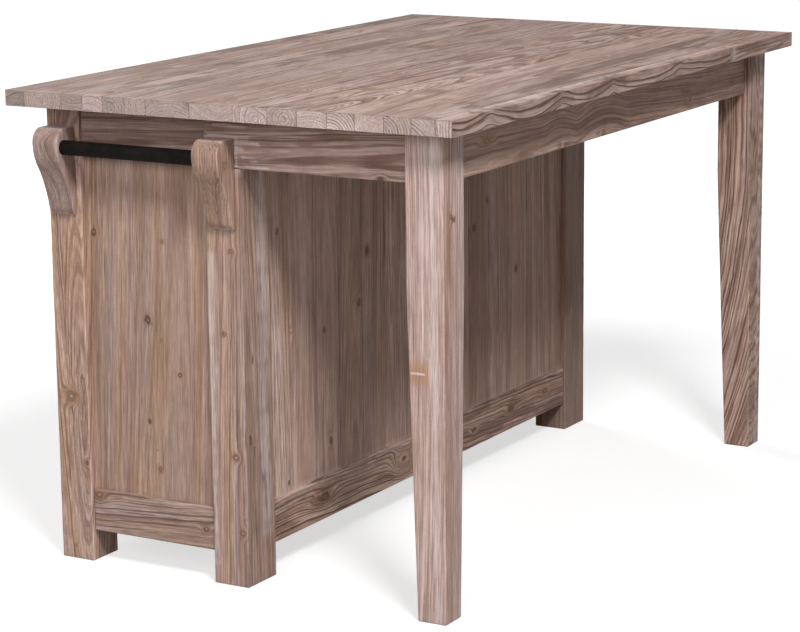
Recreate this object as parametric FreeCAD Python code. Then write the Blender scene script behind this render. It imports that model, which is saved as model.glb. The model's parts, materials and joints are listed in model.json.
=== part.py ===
import FreeCAD, Part
import math
import os

# Kitchen island: a stave worktop on a panelled cabinet, with a seating overhang carried by two tapered legs
# and a towel bar between two scrolled corbels. Millimetres, +Z up, origin on the floor under the middle of
# the worktop. X runs along the length: the towel-bar end is the near end (-X), the other the far end (+X).
# Y runs across: the seating side is -Y, the working side with drawers and doors is +Y.

# Worktop
total_height = 914.0
top_length = 1525.0
top_width = 950.0
top_thickness = 30.0
top_easing = 1.5
stave_widths = (44.0, 85.0, 48.0, 45.0, 50.0, 46.0, 96.0, 92.0,
                73.0, 61.0, 62.0, 56.0, 58.0, 54.0, 47.0, 33.0)
least_stave_width = 30.0

# Tapered legs under the seating overhang
leg_size = 77.0
leg_foot_size = 58.0
leg_square_length = 268.0
leg_end_overhang = 44.0
leg_seat_overhang = 43.0

# Planed arrises of legs and posts: edges that run true enough and far enough to be planed
arris_easing = 1.5
parallel_share = 0.99
shortest_share = 0.1

# Cabinet posts
cabinet_depth = 432.0
post_end_overhang = 58.0
working_overhang = 48.0
seat_post_width = 96.0
seat_post_depth = 77.0
work_post_width = 80.0
work_post_depth = 75.0

# Aprons and rails
apron_depth = 94.0
apron_thickness = 22.0
seat_apron_setback = 15.0
rail_thickness = 28.0
end_rail_setback = 6.0
seat_rail_setback = 4.0
foot_gap = 61.0
bottom_rail_depth = 84.0

# Mortise and tenon joints
tenon_length = 30.0
tenon_thickness = 12.0
tenon_shoulder = 12.0
stub_tenon_length = 14.0
stub_tenon_shoulder = 5.0
joint_slack = 0.1
mortise_bottom_gap = 1.0

# End panels
panel_thickness = 14.0
panel_setback = 8.0
groove_depth = 8.0
groove_slack = 0.15
groove_bottom_gap = 1.0

# Tongued and grooved boards on the seating side
board_width = 90.0
board_thickness = 16.0
board_setback = 7.0
board_gap = 0.3
board_chamfer = 2.5
tongue_reach = 5.0
tongue_thickness = 5.0
tongue_slack = 0.15
tongue_end_gap = 0.8

# Face frame on the working side
face_frame_thickness = 30.0
face_top_rail_depth = 30.0
face_middle_rail_depth = 30.0
face_stile_width = 45.0
drawer_opening_height = 150.0
bay_count = 3

# Cabinet inside
floor_thickness = 18.0
floor_drop = 14.0
floor_notch_gap = 0.5
partition_thickness = 18.0
shelf_thickness = 18.0
shelf_height = 400.0
shelf_front_setback = 8.0
shelf_side_gap = 1.0
cleat_height = 20.0
cleat_thickness = 18.0
runner_ledge = 18.0
runner_height = 34.0
runner_ledge_thickness = 16.0
outer_guide_thickness = 14.0

# Drawers
reveal = 2.0
front_thickness = 22.0
drawer_side_inset = 6.0
drawer_side_thickness = 12.0
drawer_side_height = 110.0
drawer_housing = 10.0
drawer_back_gap = 8.0
drawer_guide_gap = 1.0
drawer_running_gap = 0.3
drawer_bottom_thickness = 6.0
drawer_bottom_rise = 9.0
drawer_groove = 5.0

# Doors
door_stile_width = 62.0
door_rail_width = 62.0
door_tenon_length = 26.0
door_tenon_thickness = 8.0
door_tenon_shoulder = 10.0
door_panel_thickness = 10.0
door_groove = 8.0

# Butt hinges
hinge_gap = 3.0
hinge_length = 60.0
hinge_from_edge = 70.0
hinge_leaf_thickness = 1.2
hinge_leaf_width = 16.0
hinge_barrel_radius = 4.0
hinge_pin_radius = 2.2
hinge_pin_slack = 0.05
hinge_stand_off = 5.0
hinge_knuckle_gap = 0.3
hinge_knuckles = 3
hinge_barrel_sides = 16

# Catches
catch_length = 40.0
catch_height = 14.0
catch_body = 20.0
strike_thickness = 1.5
catch_gap = 0.3
catch_inset = 16.0

# Knobs
knob_radius = 16.0
knob_crown_radius = 5.0
knob_neck_radius = 7.0
knob_base_radius = 10.0
knob_base_height = 3.0
knob_neck_height = 8.0
knob_rim_height = 18.0
knob_projection = 28.0
knob_dome_steps = 3
knob_sides = 20
knob_shank_radius = 3.0
knob_shank_length = 16.0
knob_shank_slack = 0.1
door_knob_inset = 31.0
door_knob_drop = 110.0

# Corbels and towel bar
corbel_height = 168.0
corbel_thickness = 57.0
corbel_drop = 39.0
corbel_nose = 57.0
corbel_nose_drop = 34.0
corbel_top_flat = 37.0
corbel_shoulder = 52.5
corbel_shoulder_drop = 11.0
corbel_waist = 43.0
corbel_waist_drop = 76.0
corbel_belly = 53.5
corbel_belly_drop = 55.0
corbel_hollow = 25.0
corbel_hollow_drop = 115.0
corbel_foot = 13.0
corbel_foot_height = 10.0
corbel_toe = 4.0
bar_radius = 14.0
bar_projection = 35.0
bar_drop = 35.0
bar_socket_depth = 18.0
bar_slack = 0.1

# Buttons that hold the worktop down
button_width = 30.0
button_length = 36.0
button_height = 22.0
button_tongue = 8.0
button_tongue_height = 10.0
button_slack = 0.2
seat_button_spacing = 420.0

# Corner braces behind the legs
brace_clearance = 10.0
brace_thickness = 24.0
brace_height = 60.0
brace_drop = 18.0

# Planes and spans worked out from the sizes above
top_under = total_height - top_thickness
half_length = top_length / 2
half_width = top_width / 2
leg_end = -(half_length - leg_end_overhang)
leg_seat = -(half_width - leg_seat_overhang)
post_end = -(half_length - post_end_overhang)
cabinet_front = half_width - working_overhang
cabinet_back = cabinet_front - cabinet_depth

leg_x = (leg_end, leg_end + leg_size)
leg_y = (leg_seat, leg_seat + leg_size)
seat_post_x = (post_end, post_end + seat_post_width)
seat_post_y = (cabinet_back, cabinet_back + seat_post_depth)
work_post_x = (post_end, post_end + work_post_width)
work_post_y = (cabinet_front - work_post_depth, cabinet_front)

apron_z = (top_under - apron_depth, top_under)
bottom_rail_z = (foot_gap, foot_gap + bottom_rail_depth)
floor_top = bottom_rail_z[1] - floor_drop

end_rail_x = (post_end + end_rail_setback, post_end + end_rail_setback + rail_thickness)
end_rail_y = (seat_post_y[1], work_post_y[0])
end_apron_x = (post_end, post_end + apron_thickness)
end_apron_y = (leg_y[1], seat_post_y[1])
seat_apron_x = (leg_x[1], -leg_x[1])
seat_apron_y = (leg_seat + seat_apron_setback, leg_seat + seat_apron_setback + apron_thickness)
seat_rail_x = (seat_post_x[1], -seat_post_x[1])
seat_rail_y = (cabinet_back + seat_rail_setback, cabinet_back + seat_rail_setback + rail_thickness)
board_y = (seat_rail_y[0] + board_setback, seat_rail_y[0] + board_setback + board_thickness)

face_y = (cabinet_front - face_frame_thickness, cabinet_front)
face_x = (work_post_x[1], -work_post_x[1])
face_top_z = (top_under - face_top_rail_depth, top_under)
drawer_z = (face_top_z[0] - drawer_opening_height, face_top_z[0])
face_middle_z = (drawer_z[0] - face_middle_rail_depth, drawer_z[0])
door_z = (bottom_rail_z[1], face_middle_z[0])
bay_width = (face_x[1] - face_x[0] - (bay_count - 1) * face_stile_width) / bay_count
leaf_y = (face_y[1] - front_thickness, face_y[1])


def vector(x, y, z):
    return FreeCAD.Vector(x, y, z)


def block(xs, ys, zs):
    """A box from its low and high value along each axis."""
    return Part.makeBox(xs[1] - xs[0], ys[1] - ys[0], zs[1] - zs[0], vector(xs[0], ys[0], zs[0]))


def grown(span, gap):
    return (span[0] - gap, span[1] + gap)


def middle(span):
    return (span[0] + span[1]) / 2


def centred(centre, size):
    return (centre - size / 2, centre + size / 2)


def mirrored(shape):
    """The same piece at the far end."""
    return shape.mirror(vector(0, 0, 0), vector(1, 0, 0))


def both_ends(shapes):
    return shapes + [mirrored(shape) for shape in shapes]


def cut(shape, tools):
    return shape.cut(tools) if tools else shape


def join(shape, others):
    return shape.fuse(others).removeSplitter()


def flat(points):
    return Part.Face(Part.makePolygon(points + points[:1]))


def prism(points, direction):
    """Straight-edged outline swept along a direction."""
    return flat(points).extrude(direction)


def ring(radius, sides, centre, axis):
    """Corners of a turned form's outline, square to the axis it is turned about."""
    corners = []
    for side in range(sides):
        angle = 2 * math.pi * side / sides
        offset = [0, 0, 0]
        offset[axis - 2] = radius * math.cos(angle)
        offset[axis - 1] = radius * math.sin(angle)
        corners.append(centre + vector(*offset))
    return corners


def turned(outline, sides, base, axis):
    """Turned form of a few flats, from the radius and the height along its axis at each step."""
    rings = []
    for radius, height in outline:
        along = [0, 0, 0]
        along[axis] = height
        rings.append(ring(radius, sides, base + vector(*along), axis))
    faces = [flat(rings[0][::-1]), flat(rings[-1])]
    for low, high in zip(rings, rings[1:]):
        for side in range(sides):
            after = (side + 1) % sides
            faces.append(flat([low[side], low[after], high[after], high[side]]))
    return Part.makeSolid(Part.makeShell(faces))


def rod(radius, length, sides, base, axis):
    return turned([(radius, 0), (radius, length)], sides, base, axis)


def eased(shape, size, axis):
    """Planes a small chamfer along every long arris that runs with the axis."""
    reach = shape.BoundBox.DiagonalLength

    def runs_along(edge):
        direction = edge.tangentAt(edge.FirstParameter)
        return abs(direction[axis]) > parallel_share and edge.Length > reach * shortest_share

    return shape.makeChamfer(size, [edge for edge in shape.Edges if runs_along(edge)])


def group(shapes):
    return Part.makeCompound(shapes)


def save(name, shape):
    shape.exportStep(os.path.join("parts", name + ".step"))


# Tenons and the mortises that take them
def tenon_block(rail, axis, at_high_end, cheek, length, shoulder, slack=0.0, bottom_gap=0.0):
    """Tenon at one end of a rail given by its three spans; with slack, the mortise for it."""
    spans = list(rail)
    low, high = rail[axis]
    reach = length + bottom_gap
    spans[axis] = (high, high + reach) if at_high_end else (low - reach, low)
    spans[1 - axis] = grown(cheek, slack)
    spans[2] = (rail[2][0] + shoulder - slack, rail[2][1] - shoulder + slack)
    return block(*spans)


def tenoned(rail, axis, ends, cheek, length=tenon_length, shoulder=tenon_shoulder):
    """The rail with a tenon at each end listed (False for the low end, True for the high one)."""
    tenons = [tenon_block(rail, axis, end, cheek, length, shoulder) for end in ends]
    return join(block(*rail), tenons)


def mortise(rail, axis, at_high_end, cheek, length=tenon_length, shoulder=tenon_shoulder):
    return tenon_block(rail, axis, at_high_end, cheek, length, shoulder, joint_slack, mortise_bottom_gap)


# Rails of the near end and long rails, each as three spans, with the cheek its tenon takes up
end_apron = (end_apron_x, end_apron_y, apron_z)
end_apron_cheek = centred(middle(end_apron_x), tenon_thickness)
end_top_rail = (end_rail_x, end_rail_y, apron_z)
end_top_cheek = (end_apron_x[1], end_rail_x[1])
end_bottom_rail = (end_rail_x, end_rail_y, bottom_rail_z)
end_bottom_cheek = centred(middle(end_rail_x), tenon_thickness)
seat_apron = (seat_apron_x, seat_apron_y, apron_z)
seat_apron_cheek = centred(middle(seat_apron_y), tenon_thickness)
seat_top_rail = (seat_rail_x, seat_rail_y, apron_z)
seat_bottom_rail = (seat_rail_x, seat_rail_y, bottom_rail_z)
seat_rail_cheek = centred(middle(seat_rail_y), tenon_thickness)
face_top_rail = (face_x, face_y, face_top_z)
face_bottom_rail = (face_x, face_y, bottom_rail_z)
face_cheek = centred(middle(face_y), tenon_thickness)

end_panel_x = (end_rail_x[0] + panel_setback, end_rail_x[0] + panel_setback + panel_thickness)
panel_hold = groove_depth - groove_bottom_gap
floor_z = (floor_top - floor_thickness, floor_top)


# Worktop
def stave_spans():
    """Widths repeat across the top from the working edge; the last stave takes what is left."""
    spans = []
    edge = half_width
    while edge - stave_widths[len(spans) % len(stave_widths)] > -half_width + least_stave_width:
        width = stave_widths[len(spans) % len(stave_widths)]
        spans.append((edge - width, edge))
        edge -= width
    spans.append((-half_width, edge))
    return spans


def worktop():
    outer = block((-half_length, half_length), (-half_width, half_width), (top_under, total_height))
    outer = outer.makeChamfer(top_easing, outer.Edges)
    reach = (-half_length, half_length)
    return group([outer.common(block(reach, span, (top_under, total_height))) for span in stave_spans()])


# Legs and posts
def leg_section(size, z):
    """Square with planed arrises, its outer corner always under the same point."""
    near = arris_easing
    far = size - arris_easing
    corners = [(near, 0), (far, 0), (size, near), (size, far),
               (far, size), (near, size), (0, far), (0, near)]
    points = [vector(leg_x[0] + across, leg_y[0] + along, z) for across, along in corners]
    return Part.makePolygon(points + points[:1])


def leg():
    """Outer faces plumb, the two inner faces tapered below the square part."""
    taper_top = top_under - leg_square_length
    sections = [leg_section(leg_foot_size, 0), leg_section(leg_size, taper_top),
                leg_section(leg_size, top_under)]
    shape = Part.makeLoft(sections, True, True)
    tools = [
        mortise(end_apron, 1, False, end_apron_cheek),
        mortise(seat_apron, 0, False, seat_apron_cheek),
    ]
    return cut(shape, tools)


def end_panel_groove():
    return block(grown(end_panel_x, groove_slack), grown(end_rail_y, groove_depth),
                 grown((bottom_rail_z[1], apron_z[0]), groove_depth))


def board_groove():
    return block(grown(seat_rail_x, groove_depth), grown(board_y, groove_slack),
                 grown((bottom_rail_z[1], apron_z[0]), groove_depth))


def seat_post():
    shape = eased(block(seat_post_x, seat_post_y, (0, top_under)), arris_easing, 2)
    tools = [
        block(end_apron_x, seat_post_y, apron_z),
        mortise(end_top_rail, 1, False, end_top_cheek),
        mortise(end_bottom_rail, 1, False, end_bottom_cheek),
        mortise(seat_top_rail, 0, False, seat_rail_cheek),
        mortise(seat_bottom_rail, 0, False, seat_rail_cheek),
        end_panel_groove(),
        board_groove(),
    ]
    return cut(shape, tools)


def work_post():
    shape = eased(block(work_post_x, work_post_y, (0, top_under)), arris_easing, 2)
    tools = [
        mortise(end_top_rail, 1, True, end_top_cheek),
        mortise(end_bottom_rail, 1, True, end_bottom_cheek),
        mortise(face_top_rail, 0, False, face_cheek, shoulder=stub_tenon_shoulder),
        mortise(face_bottom_rail, 0, False, face_cheek),
        mortise(middle_rail(0), 0, False, face_cheek, stub_tenon_length, stub_tenon_shoulder),
        end_panel_groove(),
    ]
    return cut(shape, tools)


# Aprons, rails and panels
def end_apron_board():
    return cut(tenoned(end_apron, 1, [False], end_apron_cheek), [end_button(button_slack)])


def seat_apron_board():
    slots = [seat_button(x, button_slack) for x in seat_button_places()]
    return cut(tenoned(seat_apron, 0, [False, True], seat_apron_cheek), slots)


def end_top_rail_board():
    return cut(tenoned(end_top_rail, 1, [False, True], end_top_cheek), [end_panel_groove()])


def floor_groove():
    """The floor board's edges as they lie in the bottom rails."""
    xs = grown((end_rail_x[1], -end_rail_x[1]), groove_depth)
    ys = grown((seat_rail_y[1], face_y[0]), groove_depth)
    return block(xs, ys, grown(floor_z, groove_slack))


def end_bottom_rail_board():
    shape = tenoned(end_bottom_rail, 1, [False, True], end_bottom_cheek)
    return cut(shape, [end_panel_groove(), floor_groove()])


def end_panel():
    """Flat panel in its grooves, its top corner notched where the apron crosses the post."""
    panel = block(end_panel_x, grown(end_rail_y, panel_hold),
                  grown((bottom_rail_z[1], apron_z[0]), panel_hold))
    return cut(panel, [block(*[grown(span, groove_bottom_gap) for span in end_apron])])


def seat_top_rail_board():
    return cut(tenoned(seat_top_rail, 0, [False, True], seat_rail_cheek), [board_groove()])


def seat_bottom_rail_board():
    shape = tenoned(seat_bottom_rail, 0, [False, True], seat_rail_cheek)
    return cut(shape, [board_groove(), floor_groove()])


def tongued_board(xs, has_groove, has_tongue, zs):
    """One board: chamfered on its show face, grooved on the near edge and tongued on the far one."""
    left, right = xs
    show, back = board_y
    tongue = centred(middle(board_y), tongue_thickness)
    slot = grown(tongue, tongue_slack)
    slot_depth = tongue_reach + tongue_end_gap
    outline = [(left + board_chamfer, show), (right - board_chamfer, show), (right, show + board_chamfer)]
    if has_tongue:
        tip = right + tongue_reach
        outline += [(right, tongue[0]), (tip, tongue[0]), (tip, tongue[1]), (right, tongue[1])]
    outline += [(right, back), (left, back)]
    if has_groove:
        bottom = left + slot_depth
        outline += [(left, slot[1]), (bottom, slot[1]), (bottom, slot[0]), (left, slot[0])]
    outline.append((left, show + board_chamfer))
    return prism([vector(x, y, zs[0]) for x, y in outline], vector(0, 0, zs[1] - zs[0]))


def seat_boards():
    start, end = grown(seat_rail_x, panel_hold)
    count = round((end - start) / board_width)
    pitch = (end - start + board_gap) / count
    zs = grown((bottom_rail_z[1], apron_z[0]), panel_hold)
    boards = []
    for index in range(count):
        left = start + index * pitch
        boards.append(tongued_board((left, left + pitch - board_gap), index > 0, index < count - 1, zs))
    return group(boards)


# Face frame of the working side
def bay_span(index):
    left = face_x[0] + index * (bay_width + face_stile_width)
    return (left, left + bay_width)


def stile_span(index):
    left = bay_span(index)[1]
    return (left, left + face_stile_width)


def middle_rail(index):
    return (bay_span(index), face_y, face_middle_z)


def face_top_rail_board():
    shape = tenoned(face_top_rail, 0, [False, True], face_cheek, shoulder=stub_tenon_shoulder)
    slots = [face_button(index, button_slack) for index in range(bay_count)]
    return cut(shape, stile_tenons(joint_slack) + slots)


def face_bottom_rail_board():
    shape = tenoned(face_bottom_rail, 0, [False, True], face_cheek)
    return cut(shape, stile_tenons(joint_slack) + [floor_groove()])


def stile_tenons(slack=0.0):
    """Stub tenons of the stiles, standing in the top and bottom rails."""
    blocks = []
    for index in range(bay_count - 1):
        xs = grown(stile_span(index), slack - stub_tenon_shoulder)
        zs = grown((bottom_rail_z[1], face_top_z[0]), stub_tenon_length + slack)
        blocks.append(block(xs, grown(face_cheek, slack), zs))
    return blocks


def face_stiles():
    tenons = stile_tenons()
    stiles = []
    for index in range(bay_count - 1):
        shape = join(block(stile_span(index), face_y, (bottom_rail_z[1], face_top_z[0])), [tenons[index]])
        cut_in = (face_cheek, stub_tenon_length, stub_tenon_shoulder)
        sides = [mortise(middle_rail(index), 0, True, *cut_in),
                 mortise(middle_rail(index + 1), 0, False, *cut_in)]
        stiles.append(cut(shape, sides))
    return group(stiles)


def face_middle_rails():
    return group([tenoned(middle_rail(index), 0, [False, True], face_cheek, stub_tenon_length,
                          stub_tenon_shoulder) for index in range(bay_count)])


# Cabinet inside
def post_clearances():
    near = [block(grown(xs, floor_notch_gap), grown(ys, floor_notch_gap), (0, top_under))
            for xs, ys in ((seat_post_x, seat_post_y), (work_post_x, work_post_y))]
    return both_ends(near)


def cabinet_floor():
    hold = groove_depth - groove_bottom_gap
    xs = grown((end_rail_x[1], -end_rail_x[1]), hold)
    ys = grown((seat_rail_y[1], face_y[0]), hold)
    return cut(block(xs, ys, floor_z), post_clearances())


def partition_span(index):
    return centred(middle(stile_span(index)), partition_thickness)


def partitions():
    """Uprights behind the stiles, notched at the back round the seat-side rails."""
    notches = [block(face_x, seat_rail_y, zs) for zs in (apron_z, bottom_rail_z)]
    ys = (board_y[1], face_y[0])
    walls = [block(partition_span(index), ys, (floor_top, top_under)) for index in range(bay_count - 1)]
    return group([cut(wall, notches) for wall in walls])


def bay_walls(index):
    """Inner faces that a bay's shelf and runners are carried between."""
    left = partition_span(index - 1)[1] if index > 0 else face_x[0]
    right = partition_span(index)[0] if index < bay_count - 1 else face_x[1]
    return (left, right)


def shelves():
    ys = (board_y[1], face_y[0] - shelf_front_setback)
    zs = (shelf_height - shelf_thickness, shelf_height)
    boards = [block(grown(bay_walls(index), -shelf_side_gap), ys, zs) for index in range(bay_count)]
    return group([cut(board, post_clearances()) for board in boards])


def on_partitions(inner_strip):
    """Strips fixed on both faces of each partition, made from the face's place and its outward side."""
    strips = []
    for index in range(bay_count - 1):
        low, high = partition_span(index)
        strips += [inner_strip(low, -1), inner_strip(high, 1)]
    return strips


def side_span(face, side, near_reach, far_reach):
    """A span measured outwards from a face that looks along side."""
    ends = sorted((face + side * near_reach, face + side * far_reach))
    return (ends[0], ends[1])


def shelf_cleats():
    """Battens under the shelf ends: screwed to the partitions, and between the posts at each end."""
    zs = (shelf_height - shelf_thickness - cleat_height, shelf_height - shelf_thickness)
    ys = (board_y[1], face_y[0] - shelf_front_setback)
    inner = on_partitions(lambda face, side: block(side_span(face, side, 0, cleat_thickness), ys, zs))
    outer = block(side_span(face_x[0], 1, -cleat_thickness, cleat_thickness), end_rail_y, zs)
    return group(inner + both_ends([outer]))


runner_z = (drawer_z[0] - runner_ledge_thickness, drawer_z[0] - runner_ledge_thickness + runner_height)


def runner(face, side, guide, ys):
    """Angle-shaped runner: a ledge under the drawer side and a guide beside it."""
    upright = block(side_span(face, side, 0, guide - drawer_guide_gap), ys, runner_z)
    ledge = block(side_span(face, side, 0, guide + runner_ledge), ys, (runner_z[0], drawer_z[0]))
    return join(upright, [ledge])


def drawer_runners():
    guide = (face_stile_width - partition_thickness) / 2 + reveal + drawer_side_inset
    inner = on_partitions(lambda face, side: runner(face, side, guide, (seat_rail_y[1], face_y[0])))
    outer = runner(face_x[0] - outer_guide_thickness, 1, outer_guide_thickness + reveal + drawer_side_inset,
                   end_rail_y)
    return group(inner + both_ends([outer]))


# Knobs
def knob(x, face, z):
    """Turned knob on a front: base, waisted neck and domed head, with a shank let into the wood."""
    neck_end = knob_base_height + knob_neck_height
    outline = [(knob_shank_radius, -knob_shank_length), (knob_shank_radius, 0), (knob_base_radius, 0),
               (knob_base_radius, knob_base_height), (knob_neck_radius, neck_end)]
    for step in range(knob_dome_steps + 1):
        angle = math.pi / 2 * step / knob_dome_steps
        outline.append((knob_crown_radius + (knob_radius - knob_crown_radius) * math.cos(angle),
                        knob_rim_height + (knob_projection - knob_rim_height) * math.sin(angle)))
    return turned(outline, knob_sides, vector(x, face, z), 1)


def knob_hole(x, face, z):
    depth = knob_shank_length + knob_shank_slack
    radius = knob_shank_radius + knob_shank_slack
    return Part.makeCylinder(radius, depth, vector(x, face, z), vector(0, -1, 0))


# Drawers
def drawer_parts(index):
    """Front, box and bottom of one drawer; the sides stand in housings behind the front."""
    opening = bay_span(index)
    xs = grown(opening, -reveal)
    zs = grown(drawer_z, -reveal)
    back_y = seat_post_y[1] + drawer_back_gap
    side_z = (drawer_z[0] + drawer_running_gap, drawer_z[0] + drawer_running_gap + drawer_side_height)
    side_y = (back_y, leaf_y[0] + drawer_housing)
    left = side_span(xs[0] + drawer_side_inset, 1, 0, drawer_side_thickness)
    right = side_span(xs[1] - drawer_side_inset, -1, 0, drawer_side_thickness)
    inside = (left[1], right[0])
    bottom_z = (side_z[0] + drawer_bottom_rise, side_z[0] + drawer_bottom_rise + drawer_bottom_thickness)
    bottom_hold = drawer_groove - groove_bottom_gap

    panel = (grown(inside, bottom_hold), (back_y, leaf_y[0] + bottom_hold), bottom_z)
    groove = block(grown(inside, drawer_groove), (back_y, leaf_y[0] + drawer_groove),
                   grown(bottom_z, groove_slack))
    housings = [block(grown(span, joint_slack), (leaf_y[0], leaf_y[0] + drawer_housing + joint_slack),
                      grown((max(side_z[0], zs[0]), side_z[1]), joint_slack)) for span in (left, right)]
    foot_cut = block(opening, leaf_y, (side_z[0], zs[0] + joint_slack))
    knob_z = middle(drawer_z)
    front = cut(block(xs, leaf_y, zs), housings + [groove, knob_hole(middle(xs), leaf_y[1], knob_z)])
    sides = [cut(block(span, side_y, side_z), [groove, foot_cut]) for span in (left, right)]
    back = block(inside, (back_y, back_y + drawer_side_thickness), (bottom_z[1], side_z[1]))
    return {
        "front": front,
        "box": group(sides + [back]),
        "bottom": block(*panel),
        "knob": knob(middle(xs), leaf_y[1], knob_z),
    }


# Doors and hinges
# The bore's flats clear the corners of the pin as it turns
hinge_bore_radius = (hinge_pin_radius + hinge_pin_slack) / math.cos(math.pi / hinge_barrel_sides)


def hinge_axis(index):
    """Place of the pin and the way the door lies from it: outer doors hang on the posts."""
    low, high = bay_span(index)
    hung_low = index < bay_count - 1
    x = low + hinge_gap / 2 if hung_low else high - hinge_gap / 2
    return x, face_y[1] + hinge_stand_off, 1 if hung_low else -1


def hinge_bottoms():
    edge_low = door_z[0] + reveal + hinge_from_edge
    edge_high = door_z[1] - reveal - hinge_from_edge - hinge_length
    return (edge_low, edge_high)


def hinge_half(index, bottom, on_door):
    """One leaf with its knuckles; the pair share the barrel between them."""
    x, y, side = hinge_axis(index)
    toward = side if on_door else -side
    pitch = hinge_length / hinge_knuckles
    clear = hinge_gap / 2 - hinge_leaf_thickness
    plate_x = side_span(x, toward, clear, hinge_gap / 2)
    plate_y = (face_y[1] - hinge_leaf_width, y - hinge_barrel_radius - hinge_knuckle_gap)
    plate = block(plate_x, plate_y, (bottom, bottom + hinge_length))
    knuckles = []
    bores = []
    for knuckle in range(1 if on_door else 0, hinge_knuckles, 2):
        zs = grown((bottom + knuckle * pitch, bottom + (knuckle + 1) * pitch), -hinge_knuckle_gap / 2)
        base = vector(x, y, zs[0])
        knuckles.append(rod(hinge_barrel_radius, zs[1] - zs[0], hinge_barrel_sides, base, 2))
        knuckles.append(block(plate_x, (plate_y[1], y), zs))
        bores.append(rod(hinge_bore_radius, zs[1] - zs[0], hinge_barrel_sides, base, 2))
    return cut(join(plate, knuckles), bores)


def hinge_pin(index, bottom):
    x, y = hinge_axis(index)[:2]
    return rod(hinge_pin_radius, hinge_length, hinge_barrel_sides, vector(x, y, bottom), 2)


def door_edges(index):
    low, high = bay_span(index)
    hung_low = hinge_axis(index)[2] > 0
    return (low + hinge_gap, high - reveal) if hung_low else (low + reveal, high - hinge_gap)


def catch_x(index):
    """The catch sits near the top corner on the knob side."""
    low, high = door_edges(index)
    side = hinge_axis(index)[2]
    edge = high if side > 0 else low
    return side_span(edge, -side, catch_inset, catch_inset + catch_length)


def door_parts(index):
    """Framed door: stiles, tenoned rails and a panel held in grooves."""
    xs = door_edges(index)
    zs = grown(door_z, -reveal)
    inner_x = grown(xs, -door_stile_width)
    inner_z = grown(zs, -door_rail_width)
    cheek = centred(middle(leaf_y), door_tenon_thickness)
    panel_y = centred(middle(leaf_y), door_panel_thickness)
    hold = door_groove - groove_bottom_gap
    groove = block(grown(inner_x, door_groove), grown(panel_y, groove_slack), grown(inner_z, door_groove))
    rails = [(inner_x, leaf_y, span) for span in ((zs[0], inner_z[0]), (inner_z[1], zs[1]))]
    tools = [groove]
    for rail in rails:
        for end in (False, True):
            tools.append(mortise(rail, 0, end, cheek, door_tenon_length, door_tenon_shoulder))
    knob_x = xs[1] - door_knob_inset if hinge_axis(index)[2] > 0 else xs[0] + door_knob_inset
    knob_z = zs[1] - door_knob_drop
    tools.append(knob_hole(knob_x, leaf_y[1], knob_z))
    stiles = [cut(block(span, leaf_y, zs), tools) for span in ((xs[0], inner_x[0]), (inner_x[1], xs[1]))]
    bars = [cut(tenoned(rail, 0, [False, True], cheek, door_tenon_length, door_tenon_shoulder), [groove])
            for rail in rails]
    strike_z = (face_middle_z[0] - catch_height, zs[1])
    strike = block(catch_x(index), (leaf_y[0] - strike_thickness, leaf_y[0]), strike_z)
    leaves = [hinge_half(index, bottom, True) for bottom in hinge_bottoms()]
    return {
        "frame": group(stiles + bars),
        "panel": block(grown(inner_x, hold), panel_y, grown(inner_z, hold)),
        "knob": knob(knob_x, leaf_y[1], knob_z),
        "fittings": group(leaves + [strike]),
    }


def hinge_frame_leaves():
    return group([hinge_half(index, bottom, False)
                  for index in range(bay_count) for bottom in hinge_bottoms()])


def hinge_pins():
    return group([hinge_pin(index, bottom) for index in range(bay_count) for bottom in hinge_bottoms()])


def door_catches():
    front = leaf_y[0] - strike_thickness - catch_gap
    zs = (face_middle_z[0] - catch_height, face_middle_z[0])
    return group([block(catch_x(index), (front - catch_body, front), zs) for index in range(bay_count)])


# Corbels and towel bar
def corbel(post_y):
    """Scrolled bracket: flat top, round nose, hollow sweep down to a small foot cut back underneath."""
    top = top_under - corbel_drop
    bottom = top - corbel_height
    ys = centred(middle(post_y), corbel_thickness)

    def at(out, z):
        return vector(post_end - out, ys[0], z)

    nose = at(corbel_nose, top - corbel_nose_drop)
    waist = at(corbel_waist, top - corbel_waist_drop)
    foot = at(corbel_foot, bottom + corbel_foot_height)
    crown = Part.Arc(at(corbel_top_flat, top), at(corbel_shoulder, top - corbel_shoulder_drop), nose)
    belly = Part.Arc(nose, at(corbel_belly, top - corbel_belly_drop), waist)
    hollow = Part.Arc(waist, at(corbel_hollow, top - corbel_hollow_drop), foot)
    straight = [foot, at(corbel_toe, bottom), at(0, bottom), at(0, top), at(corbel_top_flat, top)]
    edges = [crown.toShape(), belly.toShape(), hollow.toShape()]
    edges += [Part.makeLine(first, second) for first, second in zip(straight, straight[1:])]
    shape = Part.Face(Part.Wire(edges)).extrude(vector(0, corbel_thickness, 0))
    return cut(shape, [bar_shape(bar_slack)])


def bar_shape(slack=0.0):
    near = middle(seat_post_y) + corbel_thickness / 2 - bar_socket_depth - slack
    far = middle(work_post_y) - corbel_thickness / 2 + bar_socket_depth + slack
    base = vector(post_end - bar_projection, near, top_under - corbel_drop - bar_drop)
    return Part.makeCylinder(bar_radius + slack, far - near, base, vector(0, 1, 0))


# Buttons that hold the worktop down, each with a tongue in a slot of its rail
button_z = (top_under - button_height, top_under)
button_tongue_z = (button_z[0], button_z[0] + button_tongue_height)


def button(along, face, side, axis, slack):
    """A button against the face of a rail; with slack, the slot for its tongue alone."""
    width = grown(centred(along, button_width), slack)
    tongue = side_span(face, side, -button_tongue - slack, 0)
    body = side_span(face, side, 0, button_length)

    def placed(across, zs):
        return block(width, across, zs) if axis == 0 else block(across, width, zs)

    if slack:
        return placed(tongue, grown(button_tongue_z, slack))
    return join(placed(body, button_z), [placed(tongue, button_tongue_z)])


def seat_button_places():
    return [place * seat_button_spacing for place in (-1, 0, 1)]


def seat_button(x, slack=0.0):
    return button(x, seat_apron_y[1], 1, 0, slack)


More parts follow.
